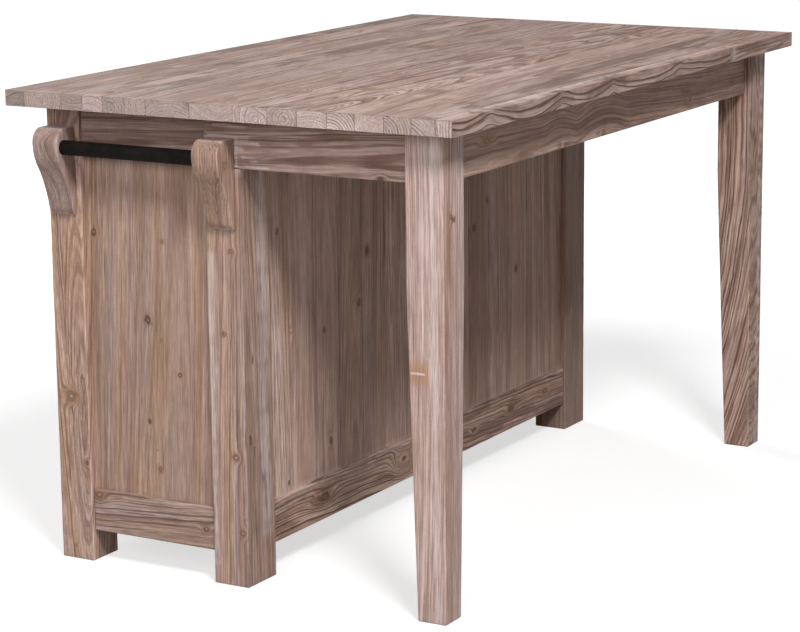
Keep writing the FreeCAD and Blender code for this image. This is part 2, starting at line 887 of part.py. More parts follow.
def face_button(index, slack=0.0):
    return button(middle(bay_span(index)), face_y[0], -1, 0, slack)


def end_button(slack=0.0):
    return button(middle((leg_y[1], cabinet_back)), end_apron_x[1], 1, 1, slack)


def top_buttons():
    shapes = [seat_button(x) for x in seat_button_places()]
    shapes += [face_button(index) for index in range(bay_count)]
    return group(shapes + both_ends([end_button()]))


# Corner braces behind the legs, mitred between the aprons
brace_z = (top_under - brace_drop - brace_height, top_under - brace_drop)
diagonal = math.sqrt(2)
brace_line = leg_x[1] + leg_y[1] + brace_clearance * diagonal
brace_back = brace_line + brace_thickness * diagonal


def corner_braces():
    x_face = end_apron_x[1]
    y_face = seat_apron_y[1]
    outline = [(brace_line - y_face, y_face), (x_face, brace_line - x_face), (x_face, brace_back - x_face),
               (brace_back - y_face, y_face)]
    shape = prism([vector(x, y, brace_z[0]) for x, y in outline], vector(0, 0, brace_height))
    return group(both_ends([shape]))


def save_pair(name, near):
    save(name + "_near", near)
    save(name + "_far", mirrored(near))


def main():
    os.makedirs("parts", exist_ok=True)
    save("worktop", worktop())
    save_pair("leg", leg())
    save_pair("seat_post", seat_post())
    save_pair("work_post", work_post())
    save_pair("end_apron", end_apron_board())
    save_pair("end_top_rail", end_top_rail_board())
    save_pair("end_bottom_rail", end_bottom_rail_board())
    save_pair("end_panel", end_panel())
    save("seat_apron", seat_apron_board())
    save("seat_top_rail", seat_top_rail_board())
    save("seat_bottom_rail", seat_bottom_rail_board())
    save("seat_boards", seat_boards())
    save("face_top_rail", face_top_rail_board())
    save("face_middle_rails", face_middle_rails())
    save("face_bottom_rail", face_bottom_rail_board())
    save("face_stiles", face_stiles())
    save("cabinet_floor", cabinet_floor())
    save("partitions", partitions())
    save("shelves", shelves())
    save("shelf_cleats", shelf_cleats())
    save("drawer_runners", drawer_runners())
    save("corbel_seat", corbel(seat_post_y))
    save("corbel_work", corbel(work_post_y))
    save("towel_bar", bar_shape())
    save("top_buttons", top_buttons())
    save("corner_braces", corner_braces())
    save("hinge_frame_leaves", hinge_frame_leaves())
    save("hinge_pins", hinge_pins())
    save("door_catches", door_catches())
    for index in range(bay_count):
        number = str(index + 1)
        for piece, shape in drawer_parts(index).items():
            save("drawer_" + number + "_" + piece, shape)
        for piece, shape in door_parts(index).items():
            save("door_" + number + "_" + piece, shape)


main()
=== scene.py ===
import json
import math
import random
from dataclasses import dataclass, field, replace
from typing import NamedTuple

import bmesh
import bpy
import numpy as np
from bpy.props import FloatProperty, FloatVectorProperty, PointerProperty
from mathutils import Euler, Matrix, Vector

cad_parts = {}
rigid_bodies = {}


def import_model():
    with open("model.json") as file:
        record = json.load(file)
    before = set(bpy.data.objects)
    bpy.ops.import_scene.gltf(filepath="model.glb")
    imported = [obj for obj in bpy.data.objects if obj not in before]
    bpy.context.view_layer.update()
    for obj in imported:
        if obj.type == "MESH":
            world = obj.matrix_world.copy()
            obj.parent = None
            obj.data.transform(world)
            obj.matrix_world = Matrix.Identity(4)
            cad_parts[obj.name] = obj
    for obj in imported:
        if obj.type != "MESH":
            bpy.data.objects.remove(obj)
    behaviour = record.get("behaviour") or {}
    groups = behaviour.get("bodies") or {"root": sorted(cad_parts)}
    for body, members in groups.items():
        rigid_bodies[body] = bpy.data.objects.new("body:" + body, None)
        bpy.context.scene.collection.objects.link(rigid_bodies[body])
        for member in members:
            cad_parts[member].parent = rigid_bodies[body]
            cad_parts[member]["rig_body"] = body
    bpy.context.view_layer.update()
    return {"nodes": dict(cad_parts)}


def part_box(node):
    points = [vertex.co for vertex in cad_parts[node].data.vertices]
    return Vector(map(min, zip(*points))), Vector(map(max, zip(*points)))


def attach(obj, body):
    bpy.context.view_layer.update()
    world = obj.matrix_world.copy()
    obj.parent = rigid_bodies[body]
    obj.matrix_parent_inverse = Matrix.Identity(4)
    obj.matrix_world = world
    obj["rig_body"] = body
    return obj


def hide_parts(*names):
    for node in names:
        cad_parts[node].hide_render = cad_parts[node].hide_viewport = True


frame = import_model()

bl_info = {
    "name": "Kitchen Island Dressing",
    "version": (1, 0, 0),
    "blender": (4, 5, 0),
    "location": "View3D > Sidebar > Island",
    "description": "Dresses the solids of a kitchen island in brushed, limed pine and black metal",
    "category": "Object",
}

# Axes, in the frame that the solids share: X along the island, Y across it, Z up
AXES = (0, 1, 2)
ALONG, ACROSS, UP = AXES
AXIS_NAMES = "xyz"
ENDS = ("near", "far")
NEAR, FAR = ENDS

# Boards of the worktop from the working edge to the seating edge, in metres
STAVE_WIDTHS = (0.044, 0.085, 0.048, 0.045, 0.050, 0.046, 0.096, 0.092, 0.073, 0.061, 0.062, 0.056, 0.058,
                0.054, 0.047, 0.033)
SEAT_BOARD_COUNT = 14
BAY_COUNT = 3
BAYS = range(1, BAY_COUNT + 1)

# Settings that values of one kind share
LENGTH = {"unit": "LENGTH", "precision": 4}
COLOUR = {"subtype": "COLOR", "size": 3, "min": 0.0, "max": 1.0}
WATTS = {"unit": "POWER", "min": 0.0, "max": 3000.0}


# Values that a user would change
class IslandShaping(bpy.types.PropertyGroup):
    """Sizes that the boards are cut, eased and worn to"""

    arris_width: FloatProperty(
        name="Arris width", description="How far the easing of a board's arris reaches on to its faces",
        default=0.005, min=0.001, max=0.02, **LENGTH)
    arris_sharpness: FloatProperty(
        name="Arris sharpness", description="Shape of an arris: 0.5 is round, 1 is a sharp corner",
        default=0.82, min=0.3, max=0.98, subtype="FACTOR")
    stave_arris: FloatProperty(
        name="Stave arris", description="Easing along the joints between the boards of the worktop",
        default=0.0005, min=0.0002, max=0.004, **LENGTH)
    joint_chamfer: FloatProperty(
        name="V-joint", description="Chamfer on the long edges of the seating side's boards",
        default=0.0028, min=0.0005, max=0.006, **LENGTH)
    cell: FloatProperty(
        name="Cell", description="Spacing of the points that carry a board's wear and figure",
        default=0.018, min=0.006, max=0.05, **LENGTH)
    knock_depth: FloatProperty(
        name="Knocks", description="How deep the arrises are worn",
        default=0.0016, min=0.0, max=0.005, **LENGTH)
    planing_depth: FloatProperty(
        name="Hand planing", description="How far the faces wander from flat",
        default=0.0006, min=0.0, max=0.003, **LENGTH)
    leg_foot: FloatProperty(
        name="Leg foot", description="Width of a leg at the floor",
        default=0.058, min=0.03, max=0.077, **LENGTH)
    leg_square: FloatProperty(
        name="Leg square", description="Length of a leg below the worktop that isn't tapered",
        default=0.268, min=0.1, max=0.6, **LENGTH)
    stile_width: FloatProperty(
        name="Face stile", description="Width of the stiles between the bays of the working side",
        default=0.045, min=0.03, max=0.08, **LENGTH)
    door_frame_width: FloatProperty(
        name="Door frame", description="Width of a door's stiles and rails",
        default=0.062, min=0.04, max=0.1, **LENGTH)
    corbel_arris: FloatProperty(
        name="Corbel arris", description="Rounding of a corbel's sawn outline",
        default=0.003, min=0.001, max=0.008, **LENGTH)


class IslandFinish(bpy.types.PropertyGroup):
    """Colours and surface of the wood, the paint and the steel"""

    early_wood: FloatVectorProperty(
        name="Early wood", description="Pale wood between the rings", default=(0.450, 0.300, 0.235), **COLOUR)
    late_wood: FloatVectorProperty(
        name="Late wood", description="Dark wood of the rings", default=(0.165, 0.082, 0.055), **COLOUR)
    lime_wash: FloatVectorProperty(
        name="Lime wash", description="White pigment left in the pores",
        default=(0.600, 0.490, 0.455), **COLOUR)
    warm_stain: FloatVectorProperty(
        name="Warm stain", description="Brown streaks along the grain",
        default=(0.340, 0.195, 0.125), **COLOUR)
    knot_rust: FloatVectorProperty(
        name="Knot stain", description="Rust-coloured stain round an open knot",
        default=(0.380, 0.200, 0.105), **COLOUR)
    knot_heart: FloatVectorProperty(
        name="Knot", description="Heart of a knot", default=(0.075, 0.036, 0.022), **COLOUR)
    ring_spacing: FloatProperty(
        name="Ring spacing", description="Mean width of a year's ring",
        default=0.0085, min=0.001, max=0.015, **LENGTH)
    brushing: FloatProperty(
        name="Brushing", description="Depth that the wire brush took from the early wood",
        default=0.0011, min=0.0, max=0.004, **LENGTH)
    bare_early: FloatVectorProperty(
        name="Bare wood", description="Unfinished wood inside the cabinet",
        default=(0.520, 0.370, 0.245), **COLOUR)
    bare_late: FloatVectorProperty(
        name="Bare rings", description="Rings of the unfinished wood",
        default=(0.330, 0.190, 0.100), **COLOUR)
    black_paint: FloatVectorProperty(
        name="Black paint", description="Towel bar and knobs", default=(0.0052, 0.0040, 0.0038), **COLOUR)
    dark_steel: FloatVectorProperty(
        name="Dark steel", description="Hinges and catches", default=(0.090, 0.085, 0.080), **COLOUR)


class IslandStage(bpy.types.PropertyGroup):
    """Camera, floor and light"""

    camera_place: FloatVectorProperty(
        name="Camera place", description="Where the photograph was taken from", subtype="TRANSLATION", size=3,
        default=(-4.6129, -2.6091, 1.5362), unit="LENGTH")
    camera_yaw: FloatProperty(
        name="Camera yaw", description="Heading of the view from the X axis",
        default=math.radians(30.183), subtype="ANGLE")
    camera_pitch: FloatProperty(
        name="Camera pitch", description="Tilt of the view above the level",
        default=math.radians(-12.269), subtype="ANGLE")
    camera_roll: FloatProperty(
        name="Camera roll", description="Turn of the camera about its view, right side down",
        default=math.radians(0.611), subtype="ANGLE")
    lens: FloatProperty(
        name="Lens", description="Focal length in millimetres on a 36 mm wide sensor",
        default=118.6, min=10.0, max=300.0, unit="CAMERA")
    floor_colour: FloatVectorProperty(
        name="Floor", description="Colour of the floor", default=(0.50, 0.50, 0.50), **COLOUR)
    floor_lift: FloatProperty(
        name="Floor lift", description="White added to the floor as the camera sees it",
        default=0.65, min=0.0, max=1.0, subtype="FACTOR")
    sky_level: FloatProperty(
        name="Sky level", description="Light from all round", default=0.04, min=0.0, max=3.0)
    key_power: FloatProperty(
        name="Key lamp", description="Watts of the lamp high beside the camera", default=320.0, **WATTS)
    end_power: FloatProperty(
        name="End lamp", description="Watts of the broad lamp before the towel bar's end",
        default=128.0, **WATTS)
    back_power: FloatProperty(
        name="Back lamp", description="Watts of the lamp over the working side", default=125.0, **WATTS)


# Modelling steps shared by the pieces
ARRIS = "arris"
ARRIS_STEPS = 4
ROUND = 0.5
TOUCH = 0.001
CORNER_ANGLE = math.radians(40)
SMOOTH_ANGLE = math.radians(35)
KNOCK_SIZE, KNOCK_DETAIL = 0.022, 3
PLANING_SIZE, PLANING_DETAIL = 0.13, 1

# Least share of a direction along an axis for a face to be square, an edge straight or a face turned that way
SQUARE, STRAIGHT, TURNED = 0.9999, 0.97, 0.9


def pick(kind, test):
    """Selects, in edit mode, only the points, edges or faces that pass a test."""
    bpy.ops.mesh.select_mode(type=kind)
    bpy.ops.mesh.select_all(action="DESELECT")
    shape = bmesh.from_edit_mesh(bpy.context.object.data)
    for part in {"VERT": shape.verts, "EDGE": shape.edges, "FACE": shape.faces}[kind]:
        part.select_set(test(part))
    shape.select_flush_mode()
    bmesh.update_edit_mesh(bpy.context.object.data)


def pick_all():
    pick("FACE", lambda face: True)


def edit(on):
    bpy.ops.object.mode_set(mode="EDIT" if on else "OBJECT")


def blank(name, low, high):
    """A cube cut to the box between two corners, its place kept in its mesh; edit mode is left open."""
    low, high = Vector(low), Vector(high)
    bpy.ops.object.select_all(action="DESELECT")
    bpy.ops.mesh.primitive_cube_add(size=1, location=(low + high) / 2, scale=high - low)
    bpy.ops.object.transform_apply()
    piece = bpy.context.object
    piece.name = name
    piece.vertex_groups.new(name=ARRIS)
    edit(True)
    return piece


def runs_along(edge, axis):
    way = edge.verts[1].co - edge.verts[0].co
    return way.length > 0 and abs(way[axis]) > STRAIGHT * way.length


def is_flat(face):
    """True for a sawn face that lies square to one of the axes."""
    return max(abs(value) for value in face.normal) > SQUARE


def is_corner(edge):
    return edge.is_convex and edge.calc_face_angle(0) > CORNER_ANGLE


def ease(width, sharpness, test=is_corner, steps=ARRIS_STEPS, flat=is_flat):
    """Eases the arrises that pass a test, and keeps their worn middle in the arris group."""
    pick("EDGE", test)
    bpy.ops.mesh.bevel(offset=width, segments=steps, profile=sharpness, affect="EDGES")
    pick("VERT", lambda point: not any(flat(face) for face in point.link_faces))
    bpy.ops.object.vertex_group_assign()


def divide(axis, cell):
    """Cuts the edges that run along an axis into cells of about one length."""
    shape = bmesh.from_edit_mesh(bpy.context.object.data)
    longest = max(edge.calc_length() for edge in shape.edges if runs_along(edge, axis))
    shortest = min(cell / 2, longest / 3)
    cuts = int(longest / cell)
    if cuts:
        pick("EDGE", lambda edge: runs_along(edge, axis) and edge.calc_length() > shortest)
        bpy.ops.mesh.subdivide(number_cuts=cuts)


def cloud(name, size, detail):
    texture = bpy.data.textures.get(name) or bpy.data.textures.new(name, "CLOUDS")
    texture.noise_scale = size
    texture.noise_depth = detail
    return texture


def weather(piece, knocks, planing):
    """Wears the arrises in small knocks and lets the faces wander from flat, always inwards."""
    passes = ((cloud("knocks", KNOCK_SIZE, KNOCK_DETAIL), knocks, ARRIS),
              (cloud("planing", PLANING_SIZE, PLANING_DETAIL), planing, ""))
    for texture, depth, group in passes:
        if not depth:
            continue
        bpy.ops.object.modifier_add(type="DISPLACE")
        modifier = piece.modifiers[-1]
        modifier.texture = texture
        modifier.texture_coords = "LOCAL"
        modifier.mid_level = 1
        modifier.strength = depth
        modifier.vertex_group = group
        bpy.ops.object.modifier_apply(modifier=modifier.name)
    bpy.ops.object.shade_smooth_by_angle(angle=SMOOTH_ANGLE)


def age(piece, shaping, cell=None):
    """Divides a shaped board into cells, leaves edit mode and weathers it."""
    for axis in AXES:
        divide(axis, cell or shaping.cell)
    edit(False)
    weather(piece, shaping.knock_depth, shaping.planing_depth)


def joined(name, pieces):
    """One piece made of several boards that lie side by side."""
    bpy.ops.object.select_all(action="DESELECT")
    for piece in pieces:
        piece.select_set(True)
    bpy.context.view_layer.objects.active = pieces[0]
    bpy.ops.object.join()
    pieces[0].name = name
    return pieces[0]


def settle(piece, material, slot, *nodes):
    """Gives a piece its finish, stands it in for its solids and lets it ride on their body."""
    piece.data.materials.clear()
    piece.data.materials.append(material)
    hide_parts(*nodes)
    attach(piece, frame["nodes"][nodes[0]]["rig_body"])


def finish_named(name, make, *values):
    """A finish is mixed once and shared by the pieces that have it."""
    return bpy.data.materials.get(name) or make(name, *values)


def in_pine(context, piece, node):
    material = finish_named("limed_pine_brushed", limed_pine, context.scene.island_finish)
    settle(piece, material, "limed_pine", node)


def in_black(context, piece, node):
    material = finish_named("black_painted_metal", painted_black, context.scene.island_finish)
    settle(piece, material, "black_metal", node)


# How boards were sawn
@dataclass
class Knot:
    """A knot at a place on a face that looks along an axis.

    warmth goes from -0.5, small in the middle of its rings, past 0, dark, and 0.5, pale at its pith, to 1,
    rusty with a slit; squash is its width as a share of its length along the grain.
    """

    place: tuple
    facing: int
    size: float
    warmth: float = 0.0
    squash: float = 0.75


@dataclass
class Sawing:
    """Where a board lay in its log, and how its finish differs from its neighbours'.

    heart is the offset of the board's middle from the log's heart on the two axes across the grain, lean the
    drift of that offset per metre of board and bow its drift with the square of the distance. peaks are
    places along the grain that the rings hang from, each with the sag up to the next. end_heart takes the
    place of heart at the sawn ends, where the rings show as clearly as sawn. strip is an axis, a width and a
    count where the board is glued up from strips. limed lists places where the wash lies thick, with the
    radius that it covers, and rubbed those where it was rubbed off.
    """

    grain: int
    heart: tuple
    lean: tuple = (0.0, 0.0)
    bow: tuple = (0.0, 0.0)
    peaks: tuple = ()
    end_heart: tuple = None
    sawn: float = 0.4
    ring: float = 1.0
    contrast: float = 0.9
    relief: float = 0.5
    tone: float = 1.0
    warmth: float = 0.5
    strip: tuple = None
    lime: float = 0.5
    knots: list = field(default_factory=list)
    limed: list = field(default_factory=list)
    rubbed: list = field(default_factory=list)


# How far a knot reaches, in knot radii or metres, as a share of the way to its neighbour and into the wood
KNOT_REACH, LEAST_REACH, KNOT_SHARE, KNOT_DEPTH = 5.0, 0.045, 0.45, 0.014
KNOT_RISE, KNOT_SKIN, KNOT_STEEPNESS = 2.5, 1.3, 2.0
NO_KNOT = (9.0, 9.0, 0.0)
NO_LOOK = (LEAST_REACH, 0.0, 0.0)
STRAY_MARGIN, STRAY_LEAST, STRAY_MOST = 0.1, 0.004, 0.010
HEART_LEAST, HEART_MOST, SIDE_LEAN = 0.02, 0.06, 0.02
LAST_STRIP = 0.01
LOG_START = 4.0

# Names of the values that every point of a board carries for its finish
STORED = ("grain", "board", "figure", "knot", "knot_look", "wear", "strip")


def across(grain):
    return [axis for axis in AXES if axis != grain]


def knots_on(node, facing, *rows):
    """Knots on a show face, the upper or the low side of a piece.

    Each row holds the two coordinates on the face, the knot's size and, where they aren't plain, its looks.
    """
    low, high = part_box(node)
    knots = []
    for first, second, *looks in rows:
        place = [first, second]
        place.insert(facing, high.z if facing == UP else low[facing])
        knots.append(Knot(tuple(place), facing, *looks))
    return knots


def stray_knots(draw, low, high, sawing, count):
    """A few seeded knots on the widest face of a board."""
    size = high - low
    facing = min(across(sawing.grain), key=lambda axis: size[axis])
    knots = []
    for _ in range(count):
        place = [draw.uniform(low[axis] + STRAY_MARGIN * size[axis], high[axis] - STRAY_MARGIN * size[axis])
                 for axis in AXES]
        knots.append(Knot(tuple(place), facing, draw.uniform(STRAY_LEAST, STRAY_MOST), draw.random()))
    return knots


def seeded_heart(draw, reach):
    """A board's offset from its log's heart: within a reach on one axis, clear of it on the other."""
    return draw.uniform(-reach, reach), draw.choice((-1, 1)) * draw.uniform(HEART_LEAST, HEART_MOST)


def seeded_lean(draw, reach):
    return draw.uniform(-SIDE_LEAN, SIDE_LEAN), draw.uniform(-reach, reach)


def plain_sawing(name, axis, low, high, most_knots=1):
    """A seeded cut from an ordinary log, with up to so many knots."""
    draw = random.Random(name)
    sawing = Sawing(axis, heart=seeded_heart(draw, 0.05), lean=seeded_lean(draw, 0.03),
                    contrast=draw.uniform(0.6, 0.8), relief=draw.uniform(0.4, 0.9),
                    warmth=draw.uniform(0.3, 0.7), tone=draw.uniform(0.95, 1.05))
    sawing.knots = stray_knots(draw, low, high, sawing, draw.randint(0, most_knots))
    return sawing


def row_of_spots(first, last, count, radius):
    """Round spots from one place to another, where the wash lies thick or was rubbed off."""
    first, last = np.array(first), np.array(last)
    return [(first + (last - first) * step / (count - 1), radius) for step in range(count)]


def knot_reach(knot, knots, grain, side):
    """How far a knot bends the rings, kept clear of its neighbours on the same face."""
    reach = max(KNOT_REACH * knot.size, LEAST_REACH)
    for other in knots:
        if other is not knot and other.facing == knot.facing:
            apart = (other.place[grain] - knot.place[grain]) * min(knot.squash, other.squash)
            reach = min(reach, KNOT_SHARE * math.hypot(apart, other.place[side] - knot.place[side]))
    return reach


def knot_values(points, sawing):
    """For every point, its offset from the nearest knot in knot radii, its nearness and the knot's looks."""
    offsets = np.tile(np.float32(NO_KNOT), (len(points), 1))
    looks = np.tile(np.float32(NO_LOOK), (len(points), 1))
    nearest = np.full(len(points), np.inf, np.float32)
    for knot in sawing.knots:
        side = sum(AXES) - sawing.grain - knot.facing
        reach = knot_reach(knot, sawing.knots, sawing.grain, side)
        along = (points[:, sawing.grain] - knot.place[sawing.grain]) * knot.squash
        beside = points[:, side] - knot.place[side]
        depth = np.abs(points[:, knot.facing] - knot.place[knot.facing])
        gap = np.hypot(along, beside)
        near = np.clip(KNOT_RISE * (1 - gap / reach), 0, 1) * np.clip(KNOT_SKIN - depth / KNOT_DEPTH, 0, 1)
        gap = np.hypot(gap, KNOT_STEEPNESS * depth)
        closer = gap < nearest
        nearest[closer] = gap[closer]
        offsets[closer] = np.stack([along / knot.size, beside / knot.size, near], axis=1)[closer]
        turned = float(side != across(sawing.grain)[0])
        looks[closer] = (knot.size, knot.warmth, turned)
    return offsets, looks


def hanging(along, peaks):
    """How far the rings hang below their peaks, in a curve between each two."""
    sag = np.zeros(len(along), np.float32)
    for (start, depth), (end, _) in zip(peaks, peaks[1:]):
        share = np.clip((along - start) / (end - start), 0, 1)
        sag += 4 * depth * share * (1 - share)
    return sag


def spotted(points, spots):
    """1 in the middle of each spot, 0 from its radius outwards."""
    mask = np.zeros(len(points), np.float32)
    for place, radius in spots:
        gap = np.linalg.norm(points - place, axis=1)
        mask = np.maximum(mask, np.clip(1 - gap / radius, 0, 1))
    return mask


def sawn_ends(mesh, grain):
    """True for the points of the faces that were sawn across the grain."""
    ends = np.zeros(len(mesh.vertices), bool)
    for face in mesh.polygons:
        if abs(face.normal[grain]) > TURNED:
            ends[list(face.vertices)] = True
    return ends


def log_places(points, ends, sawing, start):
    """Where every point lies in its log: along the grain and out from the heart on the axes across it."""
    middle = (points.min(0) + points.max(0)) / 2
    run = points[:, sawing.grain] - middle[sawing.grain]
    places = np.empty_like(points)
    places[:, 0] = run + start
    curves = zip(across(sawing.grain), sawing.heart, sawing.lean, sawing.bow)
    for column, (axis, offset, lean, bow) in enumerate(curves, start=1):
        places[:, column] = points[:, axis] - middle[axis] + offset + lean * run + bow * run ** 2
    places[:, 2] += hanging(points[:, sawing.grain], sawing.peaks)
    if sawing.end_heart:
        places[ends, 1:] = (points - middle)[ends][:, across(sawing.grain)] + sawing.end_heart
    return places


def wear_values(mesh, points, ends, sawing):
    """For every point, its share in a worn arris, which the finish also paints pale as a highlight, how thick
    its wash is and whether it is end grain.
    """
    values = np.zeros_like(points)
    for point in mesh.vertices:
        values[point.index, 0] = max((share.weight for share in point.groups), default=0.0)
    values[:, 1] = spotted(points, sawing.limed)
    values[ends, 2] = 1.0
    return values


def strip_values(points, sawing):
    """For every point, the strip that it lies in, the lime that it keeps and how clear its sawn rings are."""
    values = np.tile(np.float32((0.0, sawing.lime, sawing.sawn)), (len(points), 1))
    values[:, 1] *= 1 - spotted(points, sawing.rubbed)
    if sawing.strip:
        axis, width, count = sawing.strip
        values[:, 0] = np.minimum((points[:, axis] - points[:, axis].min()) / width, count - LAST_STRIP)
    return values


def store(mesh, name, values):
    """Writes three values for every point of a mesh, or the same three for all."""
    values = np.broadcast_to(np.float32(values), (len(mesh.vertices), 3))
    layer = mesh.attributes.new(name, "FLOAT_VECTOR", "POINT")
    layer.data.foreach_set("vector", values.ravel())


def give_grain(piece, sawing):
    """Stores where every point of a board lies in its log, with its knots and its wear."""
    mesh = piece.data
    points = np.empty(len(mesh.vertices) * 3, np.float32)
    mesh.vertices.foreach_get("co", points)
    points = points.reshape(-1, 3)
    ends = sawn_ends(mesh, sawing.grain)
    draw = random.Random(piece.name)
    places = log_places(points, ends, sawing, draw.uniform(-LOG_START, LOG_START))
    looks = (sawing.tone, sawing.relief, draw.random())
    figure = (sawing.ring, sawing.contrast, sawing.warmth)
    wear = wear_values(mesh, points, ends, sawing)
    values = (places, looks, figure, *knot_values(points, sawing), wear, strip_values(points, sawing))
    for name, value in zip(STORED, values):
        store(mesh, name, value)


def board(name, low, high, sawing, shaping, arris=None, cell=None):
    """A plain sawn board: eased, divided, weathered and given its grain."""
    piece = blank(name, low, high)
    ease(arris or shaping.arris_width, shaping.arris_sharpness)
    age(piece, shaping, cell)
    give_grain(piece, sawing)
    return piece


def lay_board(context, form, node, corners, sawing, cell=None):
    """A board of limed pine that stands in for its solid, named for its form and its solid."""
    piece = board(f"{form}_{node}", *corners, sawing, context.scene.island_shaping, cell=cell)
    in_pine(context, piece, node)


def cut_to(node, axis, first, second):
    """Corners of a rail's box, cut at its shoulders against the pieces that it stands between."""
    low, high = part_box(node)
    low[axis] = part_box(first)[1][axis]
    high[axis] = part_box(second)[0][axis]
    return low, high


# Materials
class Rise(NamedTuple):
    """A smooth rise from bottom to top as a value goes from low to high, which may be the lower one."""

    low: float
    high: float
    bottom: float = 0.0
    top: float = 1.0


class Noise(NamedTuple):
    """Soft noise with so many cells in a metre on each axis."""

    cells: tuple
    detail: float = 2.0
    roughness: float = 0.55


class Recipe:
    """Wires the nodes of a material or a world; an input may be a number, a colour or a node's output."""

    def __init__(self, owner):
        owner.use_nodes = True
        self.owner = owner
        self.tree = owner.node_tree
        self.shader = self.tree.nodes.get("Principled BSDF") or self.tree.nodes["Background"]

    def feed(self, socket, value):
        if isinstance(value, bpy.types.NodeSocket):
            self.tree.links.new(value, socket)
        elif socket.type == "RGBA":
            socket.default_value = (*value, 1.0)
        else:
            socket.default_value = value

    def set(self, values):
        for name, value in values.items():
            self.feed(self.shader.inputs[name], value)

    def add(self, kind, *inputs, output=0, **settings):
        node = self.tree.nodes.new("ShaderNode" + kind)
        for name, value in settings.items():
            setattr(node, name, value)
        for socket, value in zip(node.inputs, inputs):
            if value is not None:
                self.feed(socket, value)
        return node.outputs[output]

    def stored(self, name):
        return self.add("Attribute", attribute_name=name, output=1)

    def object_place(self):
        return self.add("TexCoord", output=3)

    def parts(self, vector):
        return tuple(self.add("SeparateXYZ", vector).node.outputs)

    def vector(self, *values):
        return self.add("CombineXYZ", *values)

    def math(self, operation, *values):
        return self.add("Math", *values, operation=operation)

    def sum(self, *values):
        total = values[0]
        for value in values[1:]:
            total = self.math("ADD", total, value)
        return total

    def times(self, *values):
        total = values[0]
        for value in values[1:]:
            total = self.math("MULTIPLY", total, value)
        return total

    def sub(self, first, second):
        return self.math("SUBTRACT", first, second)

    def over(self, first, second):
        return self.math("DIVIDE", first, second)

    def most(self, first, second):
        return self.math("MAXIMUM", first, second)

    def size(self, value):
        return self.math("ABSOLUTE", value)

    def square(self, value):
        return self.math("POWER", value, 2.0)

    def fading(self, value, rate):
        return self.math("EXPONENT", self.times(value, rate))

    def swing(self, value, *reach):
        """A value from 0 to 1, made to swing to both sides of nothing."""
        return self.times(self.sub(value, 0.5), *reach)

    def step(self, value, rise):
        return self.add("MapRange", value, *rise, interpolation_type="SMOOTHSTEP")

    def shift(self, first, second):
        return self.add("VectorMath", first, second, operation="ADD")

    def stretch(self, vector, scale):
        return self.add("VectorMath", vector, scale, operation="MULTIPLY")

    def scaled(self, vector, factor):
        return self.add("VectorMath", vector, None, None, factor, operation="SCALE")

    def noise(self, place, noise, colour=False):
        cells = self.stretch(place, noise.cells)
        return self.add("TexNoise", cells, None, 1.0, noise.detail, noise.roughness, output=int(colour))

    def wave(self, value):
        return self.add("TexNoise", None, value, 1.0, 1.0, 0.5, noise_dimensions="1D")

    def chance(self, value, colour=False):
        return self.add("TexWhiteNoise", None, value, noise_dimensions="1D", output=int(colour))

    def blend(self, factor, first, second):
        node = self.tree.nodes.new("ShaderNodeMix")
        node.data_type = "RGBA"
        for place, value in ((0, factor), (6, first), (7, second)):
            self.feed(node.inputs[place], value)
        return node.outputs[2]

    def bump(self, height, distance):
        node = self.tree.nodes.new("ShaderNodeBump")
        for name, value in (("Strength", 1.0), ("Distance", distance), ("Height", height)):
            self.feed(node.inputs[name], value)
        self.set({"Normal": node.outputs["Normal"]})


class Log:
    """What the finish reads of a board: stored values on the dressed pieces, plain ones on the solids."""

    def __init__(self, mix, grain, looks, figure, knot, knot_look, wear, strip):
        self.place = grain
        self.across = mix.parts(grain)[1:]
        self.tone, self.relief, self.seed = mix.parts(looks)
        self.ring, self.contrast, self.warmth = mix.parts(figure)
        self.knot_along, self.knot_beside, self.near = mix.parts(knot)
        self.knot_size, self.knot_warmth, self.turned = mix.parts(knot_look)
        self.arris, self.limed, self.end = mix.parts(wear)
        self.strip, self.lime, self.sawn = mix.parts(strip)


@dataclass
class Palette:
    """Colours that a pine finish is mixed from."""

    early: tuple
    late: tuple
    wash: tuple
    stain: tuple
    rust: tuple
    heart: tuple


@dataclass
class Figure:
    """Masks of the wood's figure, each from 0 to 1, and where a point lies in the noise of its log."""

    place: object
    sweep: object
    reach: object
    late: object
    groove: object
    pale: object
    lot: object


# Noise along the grain and twice across it
BEND = Noise((1.1, 4.0, 4.0), 1.0)
RIPPLE = Noise((6.0, 30.0, 30.0))
FIBRE = Noise((12.0, 300.0, 300.0), 3.0, 0.65)
PORE = Noise((26.0, 1300.0, 1300.0), 2.0, 0.6)
PATCH = Noise((2.0, 9.0, 9.0), 3.0, 0.6)
CHECK = Noise((3.0, 190.0, 190.0), 1.0)
SMUDGE = Noise((38.0, 38.0, 38.0), 3.0, 0.6)
BLOTCH = Noise((8.0, 45.0, 45.0), 3.0, 0.6)
WOBBLE = Noise((120.0, 120.0, 120.0))

# Noise along the grain and outwards through the rings
DASH = Noise((6.0, 70.0, 1.0))
STREAK = Noise((1.6, 90.0, 1.0))
BAND = Noise((0.8, 34.0, 1.0))
TINT = Noise((1.2, 60.0, 1.0))
LINE = Noise((2.5, 250.0, 1.0))
GOUGE = Noise((7.0, 42.0, 1.0), 3.0)

# What tells one log from another
SEED_LOTS, STRIP_LOTS, LOT_REACH = 97.0, 7.3, 9.0
SEED_YEARS, SEED_DRIFT, SEED_SWEEP = 31.0, 50.0, 20.0
STRIP_SHIFT = (0.057, 0.043)

